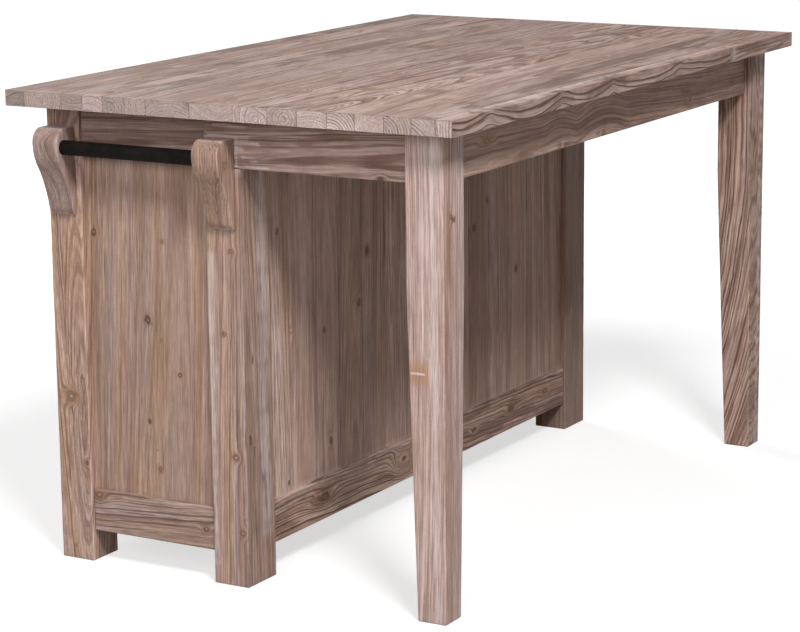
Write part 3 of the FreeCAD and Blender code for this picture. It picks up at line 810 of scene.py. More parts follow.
# How the rings wander, swell at a knot and differ from year to year
BEND_REACH, RIPPLE_REACH, RELIEF_RIPPLES = 0.022, 0.004, Rise(0.0, 2.0, 0.6, 5.0)
SOUND_KNOT, OPEN_KNOT = Rise(0.95, 0.85), Rise(0.85, 0.95)
KNOT_WOBBLE, RELIEF_BENDS = Rise(0.3, 0.7, 0.5, 1.7), Rise(0.4, 1.1, 0.45, 1.0)
SWELL, SWELL_FADE = 2.2, -0.35
RING_DRIFT, DRIFT_YEARS, RING_VIGOUR = 42.0, 2.2, Rise(0.0, 1.0, 0.15, 1.0)

# Late wood, the grooves brushed out beside it and the rings of a sawn end, over a season from 0 to 1
LATE_STARTS, LATE_ENDS = Rise(0.42, 0.78), Rise(0.90, 1.0)
DASH_LOW, DASH_HIGH, DASH_FLOOR = 0.40, 0.58, Rise(0.5, 1.0, 0.6, 0.1)
GROOVE_START, GROOVE_WALL, GROOVE_ENDS = Rise(1.0, 1.7, 0.56, 0.53), 0.14, Rise(0.80, 0.92)
GROOVE_VIGOUR, EVERY_GROOVE = Rise(0.1, 0.7, 0.35, 1.0), Rise(1.2, 1.7)
END_RING, SAWN_STARTS, SAWN_ENDS = 0.66, Rise(0.15, 0.50), Rise(0.70, 0.95)

# Knots, over the distance from their middle in knot radii or over their warmth
KNOT_RAGGEDNESS = 0.6
RUST_RUN, RUST_SPAN, RUST_COVER = Rise(2.0, 0.2), Rise(1.7, 0.9), 0.8
HALO_FADE, HALO_WARMTH = -0.40, Rise(0.0, 0.7, 0.55, 1.0)
EYE, EYE_SHRINK, EYE_COVER = Rise(1.3, 0.6), Rise(0.0, -0.5, 1.0, 9.0), Rise(0.95, 0.85, 0.0, 0.85)
EYE_RING_RATE, EYE_RINGS, EYE_WARMTH = 13.0, Rise(-1.0, 1.0, 0.75, 1.0), Rise(0.3, 0.8, 1.0, 0.3)
PITH, PITH_FROM, PITH_TO, PITH_COVER = Rise(0.06, 0.01), Rise(0.22, 0.28), Rise(0.8, 0.7), 0.8
SLIT, SLIT_ENDS, SLIT_TAPER, SLIT_RAGGEDNESS = Rise(0.22, 0.12), Rise(0.95, 0.75), 0.1, 0.5

# Streaks and lines along the grain, and the lime that lies between them
WARM_BANDS, STREAKS, FINE_LINES = Rise(0.46, 0.68), Rise(0.50, 0.70), Rise(0.52, 0.66)
DRAWN_LINES = Rise(0.0, 1.0, 0.2, 0.6)
LIME_PATCHES, LIME_FIBRES = Rise(0.32, 0.66, 0.25, 1.0), Rise(0.36, 0.60, 0.25, 1.0)
LIME_STREAKS, LIME_LINES, LATE_SHEDS = Rise(0.60, 0.42, 0.35, 1.0), Rise(0.62, 0.44, 0.3, 1.0), 0.7

# Gouges, grooves and their painted shadow, sawn ends, checks, arrises worn and painted pale as a highlight,
# and thick wash, and how much of each shows
GOUGE_START, GOUGE_WALL, GOUGED, GOUGE_SHADE = Rise(0.9, 1.2, 0.58, 0.51), 0.11, Rise(0.5, 1.1), 0.7
GROOVED, GROOVE_PAINTED_SHADOW = Rise(0.5, 1.6), 0.9
SAWN_LIME, SAWN_COVER = 0.6, 0.9
CHECKS, CHECK_PATCHES, CHECK_SHADE = Rise(0.70, 0.75), Rise(0.50, 0.62), 0.8
ARRIS_WEAR_AND_HIGHLIGHT, ARRIS_WEAR_AND_HIGHLIGHT_COVER = Rise(0.35, 0.7), 0.4
THICK_WASH, THICK_COVER, THICK_FIBRE = Rise(0.30, 0.70), 0.8, 0.5

# Shades and tints from board to board and along the fibres
LOT_SHADES, FIBRE_SHADES = Rise(0.0, 1.0, 0.88, 1.10), Rise(0.28, 0.72, 0.74, 1.24)
PORE_SHADES, SMUDGE_SHADES = Rise(0.3, 0.7, 0.94, 1.06), Rise(0.2, 0.8, 0.93, 1.07)
TINT_BANDS, COOL_TINT, WARM_TINT = Rise(0.36, 0.62), (0.99, 1.00, 1.07), (1.06, 0.99, 0.82)

# Gloss, and heights as shares of the brushing
PINE_GLOSS, FIBRE_ROUGHNESS, LATE_ROUGHNESS = 0.3, Rise(0.2, 0.8, 0.62, 0.86), -0.1
LATE_HEIGHT, FIBRE_HEIGHT, PORE_HEIGHT, EYE_HEIGHT = Rise(0.0, 1.6, 0.35, 1.4), 0.35, 0.12, 0.3
GROOVE_HEIGHT, GOUGE_HEIGHT, CHECK_HEIGHT = -1.8, -0.6, -1.4


def rings(mix, log, spacing):
    """Ring pattern of the log, bent round its knots; every strip of a glued-up board has a log of its own."""
    strip = mix.math("FLOOR", log.strip)
    lot = mix.chance(mix.sum(mix.times(log.seed, SEED_LOTS), mix.times(strip, STRIP_LOTS)), colour=True)
    place = mix.shift(log.place, mix.scaled(lot, LOT_REACH))

    gap = mix.sum(mix.square(log.knot_along), mix.square(log.knot_beside))
    reach = mix.times(gap, mix.step(mix.noise(place, WOBBLE), KNOT_WOBBLE))
    bent = mix.times(log.near, log.knot_size, mix.step(log.knot_warmth, SOUND_KNOT),
                     mix.step(log.relief, RELIEF_BENDS))
    push = mix.times(bent, mix.over(log.knot_beside, mix.most(gap, 1.0)))
    drifts = mix.parts(mix.noise(place, BEND, colour=True))
    shares = (mix.sub(1.0, log.turned), log.turned)
    squares = []
    for offset, drift, shift, share in zip(log.across, drifts, STRIP_SHIFT, shares):
        moved = mix.sum(offset, mix.swing(drift, BEND_REACH), mix.times(strip, shift))
        squares.append(mix.square(mix.sub(moved, mix.times(push, share))))
    core = mix.math("SQRT", mix.sum(*squares))
    ripple = mix.swing(mix.noise(place, RIPPLE), RIPPLE_REACH, mix.step(log.relief, RELIEF_RIPPLES))
    radius = mix.sum(core, ripple, mix.times(bent, SWELL, mix.fading(gap, SWELL_FADE)))

    drift = mix.wave(mix.sum(mix.times(radius, RING_DRIFT), mix.times(log.seed, SEED_DRIFT)))
    year = mix.sum(mix.over(radius, mix.times(log.ring, spacing)), mix.times(drift, DRIFT_YEARS))
    season = mix.math("FRACT", year)
    luck = mix.chance(mix.sum(mix.math("FLOOR", year), mix.times(log.seed, SEED_YEARS)))
    vigour = mix.step(luck, RING_VIGOUR)
    sweep = mix.vector(mix.parts(place)[0], mix.over(radius, log.ring), mix.times(log.seed, SEED_SWEEP))
    dashes = Rise(DASH_LOW, DASH_HIGH, mix.step(log.contrast, DASH_FLOOR))
    late = mix.times(mix.sub(mix.step(season, LATE_STARTS), mix.step(season, LATE_ENDS)), vigour,
                     mix.step(mix.noise(sweep, DASH), dashes))
    start = mix.step(log.relief, GROOVE_START)
    wall = mix.step(season, Rise(start, mix.sum(start, GROOVE_WALL)))
    groove = mix.times(mix.sub(wall, mix.step(season, GROOVE_ENDS)),
                       mix.most(mix.step(vigour, GROOVE_VIGOUR), mix.step(log.relief, EVERY_GROOVE)))
    sawn_season = mix.math("FRACT", mix.over(core, mix.times(spacing, END_RING)))
    pale = mix.sub(mix.step(sawn_season, SAWN_STARTS), mix.step(sawn_season, SAWN_ENDS))
    return Figure(place, sweep, reach, late, groove, pale, lot)


def knotted(mix, log, colour, figure, palette):
    """Draws the knots: a stained halo, a dark eye with rings and a pale pith, or a rusty one with a slit."""
    near = mix.times(log.near, mix.sub(1.0, log.end))
    open_knot = mix.step(log.knot_warmth, OPEN_KNOT)
    ragged = mix.swing(mix.noise(figure.place, WOBBLE), KNOT_RAGGEDNESS)
    span = mix.size(log.knot_beside)

    halo = mix.times(near, mix.fading(figure.reach, HALO_FADE), mix.sub(1.0, open_knot),
                     mix.step(log.knot_warmth, HALO_WARMTH))
    rust = mix.times(mix.step(mix.sum(mix.size(log.knot_along), ragged), RUST_RUN), mix.step(span, RUST_SPAN),
                     open_knot)
    colour = mix.blend(halo, colour, palette.stain)
    colour = mix.blend(mix.times(near, rust, RUST_COVER), colour, palette.rust)

    shrunk = mix.times(figure.reach, mix.step(log.knot_warmth, EYE_SHRINK))
    eye = mix.times(near, mix.step(shrunk, EYE), mix.step(log.knot_warmth, EYE_COVER))
    waves = mix.math("SINE", mix.times(mix.math("SQRT", figure.reach), EYE_RING_RATE))
    dark = mix.times(eye, mix.step(waves, EYE_RINGS), mix.step(log.knot_warmth, EYE_WARMTH))
    colour = mix.blend(dark, colour, palette.heart)
    pith = mix.times(near, mix.step(figure.reach, PITH), mix.step(log.knot_warmth, PITH_FROM),
                     mix.step(log.knot_warmth, PITH_TO))
    colour = mix.blend(mix.times(pith, PITH_COVER), colour, palette.wash)

    cleft = mix.size(mix.sum(log.knot_along, mix.times(ragged, SLIT_RAGGEDNESS)))
    slit = mix.times(near, mix.step(mix.sum(cleft, mix.times(span, SLIT_TAPER)), SLIT),
                     mix.step(span, SLIT_ENDS), open_knot)
    return mix.blend(slit, colour, palette.wash), eye


def pine(mix, log, palette, spacing, brushing):
    """Brushed wood with rings, fibres, streaks, knots and checks; its grooves are painted dark as their
    shadow and its arrises painted pale, partly as wear and partly as a painted highlight; late wood stands
    proud.
    """
    figure = rings(mix, log, spacing)
    place, sweep = figure.place, figure.sweep
    fibre = mix.noise(place, FIBRE)
    pore = mix.noise(place, PORE)
    patch = mix.noise(place, PATCH)
    smudge = mix.noise(place, SMUDGE)
    streak = mix.noise(sweep, STREAK)
    fine = mix.noise(sweep, LINE)

    colour = mix.blend(mix.times(mix.step(mix.noise(sweep, BAND), WARM_BANDS), log.warmth), palette.early,
                       palette.stain)
    drawn = mix.step(log.contrast, DRAWN_LINES)
    for mask in (mix.step(streak, STREAKS), mix.step(fine, FINE_LINES)):
        colour = mix.blend(mix.times(mask, drawn), colour, palette.late)
    colour = mix.blend(mix.times(figure.late, log.contrast), colour, palette.late)
    kept = mix.sub(1.0, mix.times(figure.late, LATE_SHEDS))
    cover = mix.times(mix.step(patch, LIME_PATCHES), mix.step(fibre, LIME_FIBRES),
                      mix.step(streak, LIME_STREAKS), mix.step(fine, LIME_LINES), kept, log.lime)
    colour = mix.blend(cover, colour, palette.wash)

    start = mix.step(log.relief, GOUGE_START)
    gouge = mix.times(mix.step(mix.noise(sweep, GOUGE), Rise(start, mix.sum(start, GOUGE_WALL))),
                      mix.step(log.relief, GOUGED))
    colour = mix.blend(mix.times(gouge, GOUGE_SHADE), colour, palette.late)
    # Painted shadow: the brushed grooves are darkened toward the heart colour, more where the relief is deep
    groove = mix.times(figure.groove, mix.step(log.relief, GROOVED))
    colour = mix.blend(mix.times(groove, GROOVE_PAINTED_SHADOW), colour, palette.heart)
    sawn = mix.blend(mix.sum(mix.swing(figure.pale, log.sawn), SAWN_LIME), palette.early, palette.wash)
    colour = mix.blend(mix.times(log.end, SAWN_COVER), colour, sawn)
    colour, eye = knotted(mix, log, colour, figure, palette)

    check = mix.times(mix.step(mix.noise(place, CHECK), CHECKS), mix.step(patch, CHECK_PATCHES),
                      mix.sub(1.0, log.end))
    colour = mix.blend(mix.times(check, CHECK_SHADE), colour, palette.heart)
    # Arrises painted pale: partly wear of the wash, partly a painted highlight along the edges
    worn = mix.times(log.arris, mix.step(smudge, ARRIS_WEAR_AND_HIGHLIGHT), ARRIS_WEAR_AND_HIGHLIGHT_COVER)
    clotted = mix.times(log.limed, mix.sum(mix.noise(place, BLOTCH), mix.times(fibre, THICK_FIBRE)))
    thick = mix.times(mix.step(clotted, THICK_WASH), THICK_COVER)
    colour = mix.blend(mix.most(worn, thick), colour, palette.wash)

    shade = mix.times(log.tone, mix.step(mix.parts(figure.lot)[0], LOT_SHADES), mix.step(fibre, FIBRE_SHADES),
                      mix.step(pore, PORE_SHADES), mix.step(smudge, SMUDGE_SHADES))
    tinted = mix.times(mix.step(mix.noise(sweep, TINT), TINT_BANDS), log.warmth)
    colour = mix.stretch(mix.scaled(colour, shade), mix.blend(tinted, COOL_TINT, WARM_TINT))
    roughness = mix.sum(mix.step(fibre, FIBRE_ROUGHNESS), mix.times(figure.late, LATE_ROUGHNESS))
    mix.set({"Base Color": colour, "Roughness": roughness, "Specular IOR Level": PINE_GLOSS})
    proud = mix.times(figure.late, mix.step(log.relief, LATE_HEIGHT))
    height = mix.sum(proud, mix.times(fibre, FIBRE_HEIGHT), mix.times(groove, GROOVE_HEIGHT),
                     mix.times(gouge, GOUGE_HEIGHT), mix.times(check, CHECK_HEIGHT),
                     mix.times(eye, EYE_HEIGHT), mix.times(pore, PORE_HEIGHT))
    mix.bump(height, brushing)


def limed_pine(name, finish):
    """The brushed and limed pine of every piece that shows."""
    mix = Recipe(bpy.data.materials.new(name))
    palette = Palette(finish.early_wood, finish.late_wood, finish.lime_wash, finish.warm_stain,
                      finish.knot_rust, finish.knot_heart)
    log = Log(mix, *(mix.stored(value) for value in STORED))
    pine(mix, log, palette, finish.ring_spacing, finish.brushing)
    return mix.owner


GRAIN_TURNS = {ALONG: (0.0, 0.0, 0.0), ACROSS: (0.0, 0.0, -math.pi / 2), UP: (0.0, math.pi / 2, 0.0)}
INSIDE_HEART = (0.0, 0.31, 0.17)
INSIDE_LOOKS, INSIDE_FIGURE, INSIDE_STRIP = (1.0, 0.25, 0.37), (1.3, 0.7, 0.3), (0.0, 0.2, 0.4)
UNWORN = (0.0, 0.0, 0.0)
INSIDE_BRUSHING = 0.25


def bare_pine(name, finish, axis):
    """Unfinished pine of the pieces inside, with its fibres along an axis."""
    mix = Recipe(bpy.data.materials.new(name))
    palette = Palette(finish.bare_early, finish.bare_late, finish.bare_early, finish.warm_stain,
                      finish.knot_rust, finish.knot_heart)
    grain = mix.add("Mapping", mix.object_place(), INSIDE_HEART, GRAIN_TURNS[axis])
    plain = (INSIDE_LOOKS, INSIDE_FIGURE, NO_KNOT, NO_LOOK, UNWORN, INSIDE_STRIP)
    log = Log(mix, grain, *(mix.vector(*values) for values in plain))
    pine(mix, log, palette, finish.ring_spacing, INSIDE_BRUSHING * finish.brushing)
    return mix.owner


def brighter(colour, factor):
    return [min(1.0, value * factor) for value in colour]


PEEL, DUST = Noise((900.0, 900.0, 900.0)), Noise((30.0, 30.0, 30.0), 4.0, 0.65)
DUSTY, DUST_LIFT, DUST_HEIGHT = Rise(0.45, 0.75), 2.4, 0.6
PAINT_GLOSS, DUST_ROUGHNESS, PEEL_ROUGHNESS, PEEL_DEPTH = 0.06, Rise(0.3, 0.7, 0.48, 0.60), 0.06, 0.0002


def painted_black(name, finish):
    """Black paint on iron: an even coat with a fine orange peel and rubbed, dusty places."""
    mix = Recipe(bpy.data.materials.new(name))
    peel = mix.noise(mix.object_place(), PEEL)
    dust = mix.noise(mix.object_place(), DUST)
    rubbed = brighter(finish.black_paint, DUST_LIFT)
    mix.set({"Base Color": mix.blend(mix.step(dust, DUSTY), finish.black_paint, rubbed),
             "Roughness": mix.sum(mix.step(dust, DUST_ROUGHNESS), mix.times(peel, PEEL_ROUGHNESS)),
             "Specular IOR Level": PAINT_GLOSS})
    mix.bump(mix.sum(peel, mix.times(dust, DUST_HEIGHT)), PEEL_DEPTH)
    return mix.owner


GRIT, RUB = Noise((700.0, 700.0, 700.0), 3.0, 0.65), Noise((90.0, 90.0, 90.0), 3.0)
RUBBED_STEEL, STEEL_LIFT, STEEL_METAL = Rise(0.5, 0.75), 2.2, 0.9
STEEL_ROUGHNESS, GRIT_DEPTH = Rise(0.2, 0.8, 0.35, 0.6), 0.00015


def blackened_steel(name, finish):
    """Blackened steel of hinges and catches, rubbed bright in small places."""
    mix = Recipe(bpy.data.materials.new(name))
    grit = mix.noise(mix.object_place(), GRIT)
    rub = mix.noise(mix.object_place(), RUB)
    bright = brighter(finish.dark_steel, STEEL_LIFT)
    mix.set({"Base Color": mix.blend(mix.step(rub, RUBBED_STEEL), finish.dark_steel, bright),
             "Roughness": mix.step(grit, STEEL_ROUGHNESS), "Metallic": STEEL_METAL})
    mix.bump(grit, GRIT_DEPTH)
    return mix.owner


# Worktop: a butt joint divides the board at the seating edge, whose figure hangs in waves
SEAT_EDGE_BUTT = 0.442
SEAT_EDGE_SAWING = Sawing(
    ALONG, heart=(0.004, 0.100), lean=(0.0, 0.004), ring=1.8, contrast=0.25, relief=1.75, warmth=0.2,
    tone=1.10, end_heart=(0.150, 0.0), sawn=1.6, lime=0.7,
    limed=row_of_spots((-0.76, -0.440, 0.916), (0.44, -0.440, 0.916), 41, 0.040),
    peaks=((-0.790, 0.009), (-0.652, -0.005), (-0.602, 0.014), (-0.362, -0.004), (-0.328, 0.011),
           (-0.152, -0.005), (-0.120, 0.013), (0.150, -0.004), (0.184, 0.009), (0.450, 0.0)))
TOP_KNOTS = knots_on(
    "worktop", UP, (-0.555, -0.043, 0.010, 0.7), (-0.706, 0.275, 0.009, 0.2), (-0.471, -0.088, 0.011, 0.7),
    (-0.735, 0.030, 0.010, 0.7, 0.5), (-0.262, -0.073, 0.012, 0.8), (0.309, -0.093, 0.012, 0.7),
    (0.169, -0.300, 0.010, 0.7), (-0.478, 0.347, 0.012, 0.8), (-0.755, -0.095, 0.009, 0.3))
STAVE_CHANGES = {
    0: {"tone": 0.70, "ring": 1.0, "relief": 1.3, "lime": 0.4},
    1: {"relief": 1.0},
    5: {"relief": 1.05},
    6: {"relief": 1.0},
    10: {"heart": (0.009, 0.059), "lean": (0.0, 0.040), "bow": (0.0, -0.070), "ring": 0.6, "relief": 1.2,
         "contrast": 1.0, "end_heart": (0.0, 0.080)},
    11: {"end_heart": (-0.025, 0.035), "sawn": 1.2},
    12: {"sawn": 0.1},
    13: {"end_heart": (-0.030, 0.020), "sawn": 1.4},
    14: {"end_heart": (-0.080, 0.100), "sawn": 0.6},
}


def stave_sawing(name, number):
    """A seeded cut for a board of the worktop, with what sets some of them apart."""
    draw = random.Random(name)
    sawing = Sawing(ALONG, heart=seeded_heart(draw, 0.02), lean=seeded_lean(draw, 0.06), ring=1.1,
                    contrast=0.7, relief=draw.choice((1.0, 1.1, 1.25)), warmth=0.3,
                    tone=draw.uniform(0.73, 0.96), lime=0.7)
    return replace(sawing, **STAVE_CHANGES.get(number, {}))


class ISLAND_OT_worktop(bpy.types.Operator):
    """Lays the worktop from its boards, end grain showing at both ends"""
    bl_idname = "island.worktop"
    bl_label = "Worktop"

    def execute(self, context):
        shaping = context.scene.island_shaping
        arris = shaping.stave_arris
        low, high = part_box("worktop")
        edge = high.y
        staves = []
        for number, width in enumerate(STAVE_WIDTHS):
            name = f"stave_{number + 1}"
            corner = Vector((low.x, max(edge - width, low.y), low.z))
            far_corner = Vector((high.x, edge, high.z))
            sawing = stave_sawing(name, number)
            if number == len(STAVE_WIDTHS) - 1:
                butt = Vector((SEAT_EDGE_BUTT, edge, high.z))
                staves.append(board(name + "_first", corner, butt, SEAT_EDGE_SAWING, shaping, arris))
                corner.x = SEAT_EDGE_BUTT
                sawing.tone = SEAT_EDGE_SAWING.tone
            sawing.knots = [knot for knot in TOP_KNOTS if corner.y <= knot.place[ACROSS] < edge]
            staves.append(board(name, corner, far_corner, sawing, shaping, arris))
            edge -= width
        in_pine(context, joined("worktop_boards", staves), "worktop")
        return {"FINISHED"}


# Legs
LEG_MARKS = (
    knots_on("leg_near", ALONG, (-0.378, 0.456, 0.017, 1.0, 1.0))
    + knots_on("leg_near", ACROSS, (-0.677, 0.729, 0.004, 0.1), (-0.699, 0.685, 0.007, 0.8, 0.08),
               (-0.709, 0.510, 0.006, 0.8, 0.08)))
LEG_SAWINGS = {
    NEAR: Sawing(UP, heart=(0.0385, 0.0432), lean=(0.0, 0.010), bow=(0.0, -0.030), ring=0.5, contrast=0.6,
                 relief=0.6, tone=1.24, warmth=0.15, lime=1.5, strip=(ACROSS, 0.031, 2), knots=LEG_MARKS,
                 limed=row_of_spots((-0.7185, -0.415, 0.0), (-0.7185, -0.415, 0.873), 98, 0.024),
                 rubbed=row_of_spots((-0.705, -0.436, 0.0), (-0.705, -0.436, 0.88), 45, 0.035)),
    FAR: Sawing(UP, heart=(0.030, -0.120), lean=(0.0, 0.157), bow=(0.0, -0.25), ring=1.0, contrast=0.7,
                relief=1.25, tone=1.20, lime=0.7,
                limed=row_of_spots((0.700, -0.432, 0.0), (0.700, -0.432, 0.87), 30, 0.024)),
}


class ISLAND_OT_legs(bpy.types.Operator):
    """Makes the two legs: square at the top, tapered below on their inner faces"""
    bl_idname = "island.legs"
    bl_label = "Legs"

    def execute(self, context):
        shaping = context.scene.island_shaping
        for end in ENDS:
            node = "leg_" + end
            low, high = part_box(node)
            piece = blank("tapered_" + node, low, high)
            ease(shaping.arris_width, shaping.arris_sharpness)
            pick_all()
            bpy.ops.mesh.bisect(plane_co=(0, 0, high.z - shaping.leg_square), plane_no=(0, 0, 1))
            outer = low.x if end == NEAR else high.x
            foot = shaping.leg_foot / (high.x - low.x)
            pick("VERT", lambda point: point.co.z < low.z + 2 * shaping.arris_width)
            bpy.ops.transform.resize(value=(foot, foot, 1), center_override=(outer, low.y, low.z))
            age(piece, shaping)
            give_grain(piece, LEG_SAWINGS[end])
            in_pine(context, piece, node)
        return {"FINISHED"}


# Posts
SEAT_POST_KNOTS = (
    knots_on("seat_post_near", ALONG, (0.017, 0.250, 0.009, 0.6, 1.3), (0.036, 0.482, 0.006, 0.6, 1.5),
             (0.006, 0.106, 0.008, 0.7, 1.3), (0.018, 0.637, 0.006, 0.6, 1.3))
    + knots_on("seat_post_near", ACROSS, (-0.641, 0.437, 0.003, 0.1, 0.3), (-0.676, 0.432, 0.003, 0.1, 0.3),
               (-0.689, 0.284, 0.004, 0.1, 0.35), (-0.634, 0.271, 0.005, 0.1, 0.35),
               (-0.646, 0.207, 0.006, 0.1, 0.4), (-0.643, 0.564, 0.003, 0.1, 0.3)))
SEAT_POST_LIME = (
    row_of_spots((-0.7045, 0.064, 0.38), (-0.7045, 0.064, 0.632), 22, 0.027)
    + row_of_spots((-0.7045, 0.066, 0.04), (-0.7045, 0.066, 0.364), 28, 0.020)
    + row_of_spots((-0.637, -0.005, 0.10), (-0.637, -0.005, 0.76), 23, 0.050))
SEAT_POST_SAWINGS = {
    NEAR: Sawing(UP, heart=(0.035, 0.050), lean=(0.02, 0.02), ring=0.7, contrast=0.62, relief=0.5, warmth=0.7,
                 tone=0.92, lime=0.42, strip=(ACROSS, 0.026, 3), limed=SEAT_POST_LIME, knots=SEAT_POST_KNOTS),
    FAR: Sawing(UP, heart=(0.030, -0.055), ring=0.8, contrast=0.7, tone=0.8, warmth=0.6,
                strip=(ACROSS, 0.026, 3)),
}
WORK_POST_SAWINGS = {
    NEAR: Sawing(UP, heart=(0.0258, 0.0265), lean=(-0.10, 0.0), ring=0.65, contrast=0.85, relief=0.85,
                 warmth=0.8, tone=1.09, lime=0.4, strip=(ACROSS, 0.048, 2),
                 knots=knots_on("work_post_near", ALONG, (0.392, 0.324, 0.013, 0.6, 1.0),
                                (0.360, 0.196, 0.004))),
    FAR: Sawing(UP, heart=(-0.050, 0.040), contrast=0.8, warmth=0.6, strip=(ACROSS, 0.026, 3)),
}


class ISLAND_OT_posts(bpy.types.Operator):
    """Makes the four posts of the cabinet; the seating-side pair are halved for the aprons that cross them"""
    bl_idname = "island.posts"
    bl_label = "Posts"

    def execute(self, context):
        shaping = context.scene.island_shaping
        for end in ENDS:
            node = "seat_post_" + end
            piece = self.halved(node, end, shaping)
            give_grain(piece, SEAT_POST_SAWINGS[end])
            in_pine(context, piece, node)
            node = "work_post_" + end
            lay_board(context, "square", node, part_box(node), WORK_POST_SAWINGS[end])
        return {"FINISHED"}

    def halved(self, node, end, shaping):
        """A post whose top is cut back so that the apron lies flush in it."""
        low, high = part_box(node)
        apron_low, apron_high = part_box("end_apron_" + end)
        lap = apron_high.x if end == NEAR else apron_low.x
        inwards = 1 if end == NEAR else -1
        shoulder = apron_low.z

        def carries_top(face):
            return face.normal.z > TURNED and (face.calc_center_median().x - lap) * inwards > 0

        def is_eased(edge):
            at_floor = max(point.co.z for point in edge.verts) < low.z + TOUCH
            return at_floor or is_corner(edge) and runs_along(edge, UP)

        piece = blank("halved_" + node, low, (high.x, high.y, shoulder))
        pick_all()
        bpy.ops.mesh.bisect(plane_co=(lap, 0, 0), plane_no=(1, 0, 0))
        pick("FACE", carries_top)
        bpy.ops.mesh.extrude_region_move(TRANSFORM_OT_translate={"value": (0, 0, high.z - shoulder)})
        ease(shaping.arris_width, shaping.arris_sharpness, is_eased)
        age(piece, shaping)
        return piece


# Aprons: the near one has small cells, because lime lies in fine lines round its lap on the post
APRON_CELL = 0.006
APRON_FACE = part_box("end_apron_near")[0].x
LAP_LIME_RADIUS = 0.009
LAP_LINES = (
    ((0.002, 0.795), (0.004, 0.850), 14), ((0.010, 0.849), (0.062, 0.849), 14),
    ((-0.006, 0.840), (-0.046, 0.838), 11), ((-0.006, 0.826), (-0.012, 0.826), 2),
    ((-0.012, 0.812), (-0.042, 0.809), 8), ((-0.014, 0.797), (-0.066, 0.795), 14),
    ((0.050, 0.868), (-0.020, 0.866), 18))
LAP_LIME = [spot for first, last, count in LAP_LINES
            for spot in row_of_spots((APRON_FACE, *first), (APRON_FACE, *last), count, LAP_LIME_RADIUS)]
END_APRON_SAWINGS = {
    NEAR: Sawing(ACROSS, heart=(0.030, 0.020), lean=(0.02, 0.05), contrast=0.9, relief=0.9, tone=1.02,
                 warmth=0.4, lime=0.4, limed=LAP_LIME,
                 knots=knots_on("end_apron_near", ALONG, (-0.300, 0.792, 0.005, 0.2))),
    FAR: Sawing(ACROSS, heart=(-0.045, -0.012), contrast=0.85, relief=0.6, tone=0.95),
}
SEAT_APRON_SAWING = Sawing(
    ALONG, heart=(-0.020, 0.060), lean=(0.02, 0.04), ring=0.75, contrast=0.8, relief=0.95, tone=1.34,
    warmth=0.4, lime=0.4,
    peaks=((-0.300, -0.008), (-0.190, 0.003), (-0.150, -0.015), (0.050, 0.004), (0.600, 0.0)),
    knots=knots_on("seat_apron", ACROSS, (-0.243, 0.796, 0.004, 0.5), (-0.054, 0.796, 0.005, 0.6),
                   (-0.530, 0.845, 0.006, 0.7, 0.4), (0.353, 0.811, 0.004, 0.3)))


class ISLAND_OT_aprons(bpy.types.Operator):
    """Makes the aprons under the seating overhang"""
    bl_idname = "island.aprons"
    bl_label = "Aprons"

    def execute(self, context):
        for end in ENDS:
            node = "end_apron_" + end
            low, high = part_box(node)
            low.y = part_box("leg_" + end)[1].y
            cell = APRON_CELL if end == NEAR else None
            lay_board(context, "lapped", node, (low, high), END_APRON_SAWINGS[end], cell)
        corners = cut_to("seat_apron", ALONG, "leg_near", "leg_far")
        lay_board(context, "long", "seat_apron", corners, SEAT_APRON_SAWING)
        return {"FINISHED"}


# Rails
RAIL_SAWINGS = {
    "end_top_rail_near": Sawing(ACROSS, heart=(0.040, 0.030), lean=(0.02, 0.04), contrast=0.8, tone=0.88,
                                warmth=0.3),
    "end_top_rail_far": Sawing(ACROSS, heart=(-0.050, 0.020), contrast=0.8, tone=0.95),
    "end_bottom_rail_near": Sawing(
        ACROSS, heart=(0.035, 0.030), lean=(0.02, 0.05), contrast=0.85, relief=0.9, tone=0.95,
        knots=knots_on("end_bottom_rail_near", ALONG, (0.338, 0.134, 0.008, 0.6),
                       (0.092, 0.100, 0.006, 0.6))),
    "end_bottom_rail_far": Sawing(ACROSS, heart=(-0.040, 0.010), contrast=0.85, relief=0.7),
    "seat_top_rail": Sawing(ALONG, heart=(0.050, 0.010), contrast=0.85, tone=0.95),
    "seat_bottom_rail": Sawing(
        ALONG, heart=(-0.020, 0.080), lean=(0.01, 0.03), ring=0.95, contrast=0.5, relief=1.5, tone=1.12,
        knots=knots_on("seat_bottom_rail", ACROSS, (-0.119, 0.109, 0.017, -0.5, 0.6),
                       (0.351, 0.107, 0.007, 0.2, 0.5), (0.181, 0.099, 0.005, 0.2, 0.5),
                       (0.515, 0.112, 0.006, 0.4, 0.5), (-0.430, 0.106, 0.009, 0.0, 0.35))),
}


class ISLAND_OT_rails(bpy.types.Operator):
    """Makes the rails that tie the cabinet's posts together at top and bottom"""
    bl_idname = "island.rails"
    bl_label = "Rails"

    def execute(self, context):
        for node, sawing in RAIL_SAWINGS.items():
            if sawing.grain == ACROSS:
                end = node.rsplit("_", 1)[1]
                corners = cut_to(node, ACROSS, "seat_post_" + end, "work_post_" + end)
            else:
                corners = cut_to(node, ALONG, "seat_post_near", "seat_post_far")
            lay_board(context, "shouldered", node, corners, sawing)
        return {"FINISHED"}


# End panels
END_PANEL_KNOTS = knots_on(
    "end_panel_near", ALONG, (0.335, 0.645, 0.006, 0.4), (0.180, 0.639, 0.003, 0.7),
    (0.217, 0.487, 0.007, 0.3), (0.148, 0.389, 0.005, 0.4), (0.220, 0.292, 0.005), (0.198, 0.201, 0.005, 0.6))
END_PANEL_SAWINGS = {
    NEAR: Sawing(UP, heart=(0.045, 0.020), lean=(0.02, 0.03), contrast=0.3, relief=0.4, tone=0.90,
                 warmth=0.75, strip=(ACROSS, 0.058, 5), lime=0.35, knots=END_PANEL_KNOTS),
    FAR: Sawing(UP, heart=(-0.070, 0.020), contrast=0.55, relief=0.4, warmth=0.7, strip=(ACROSS, 0.058, 5)),
}


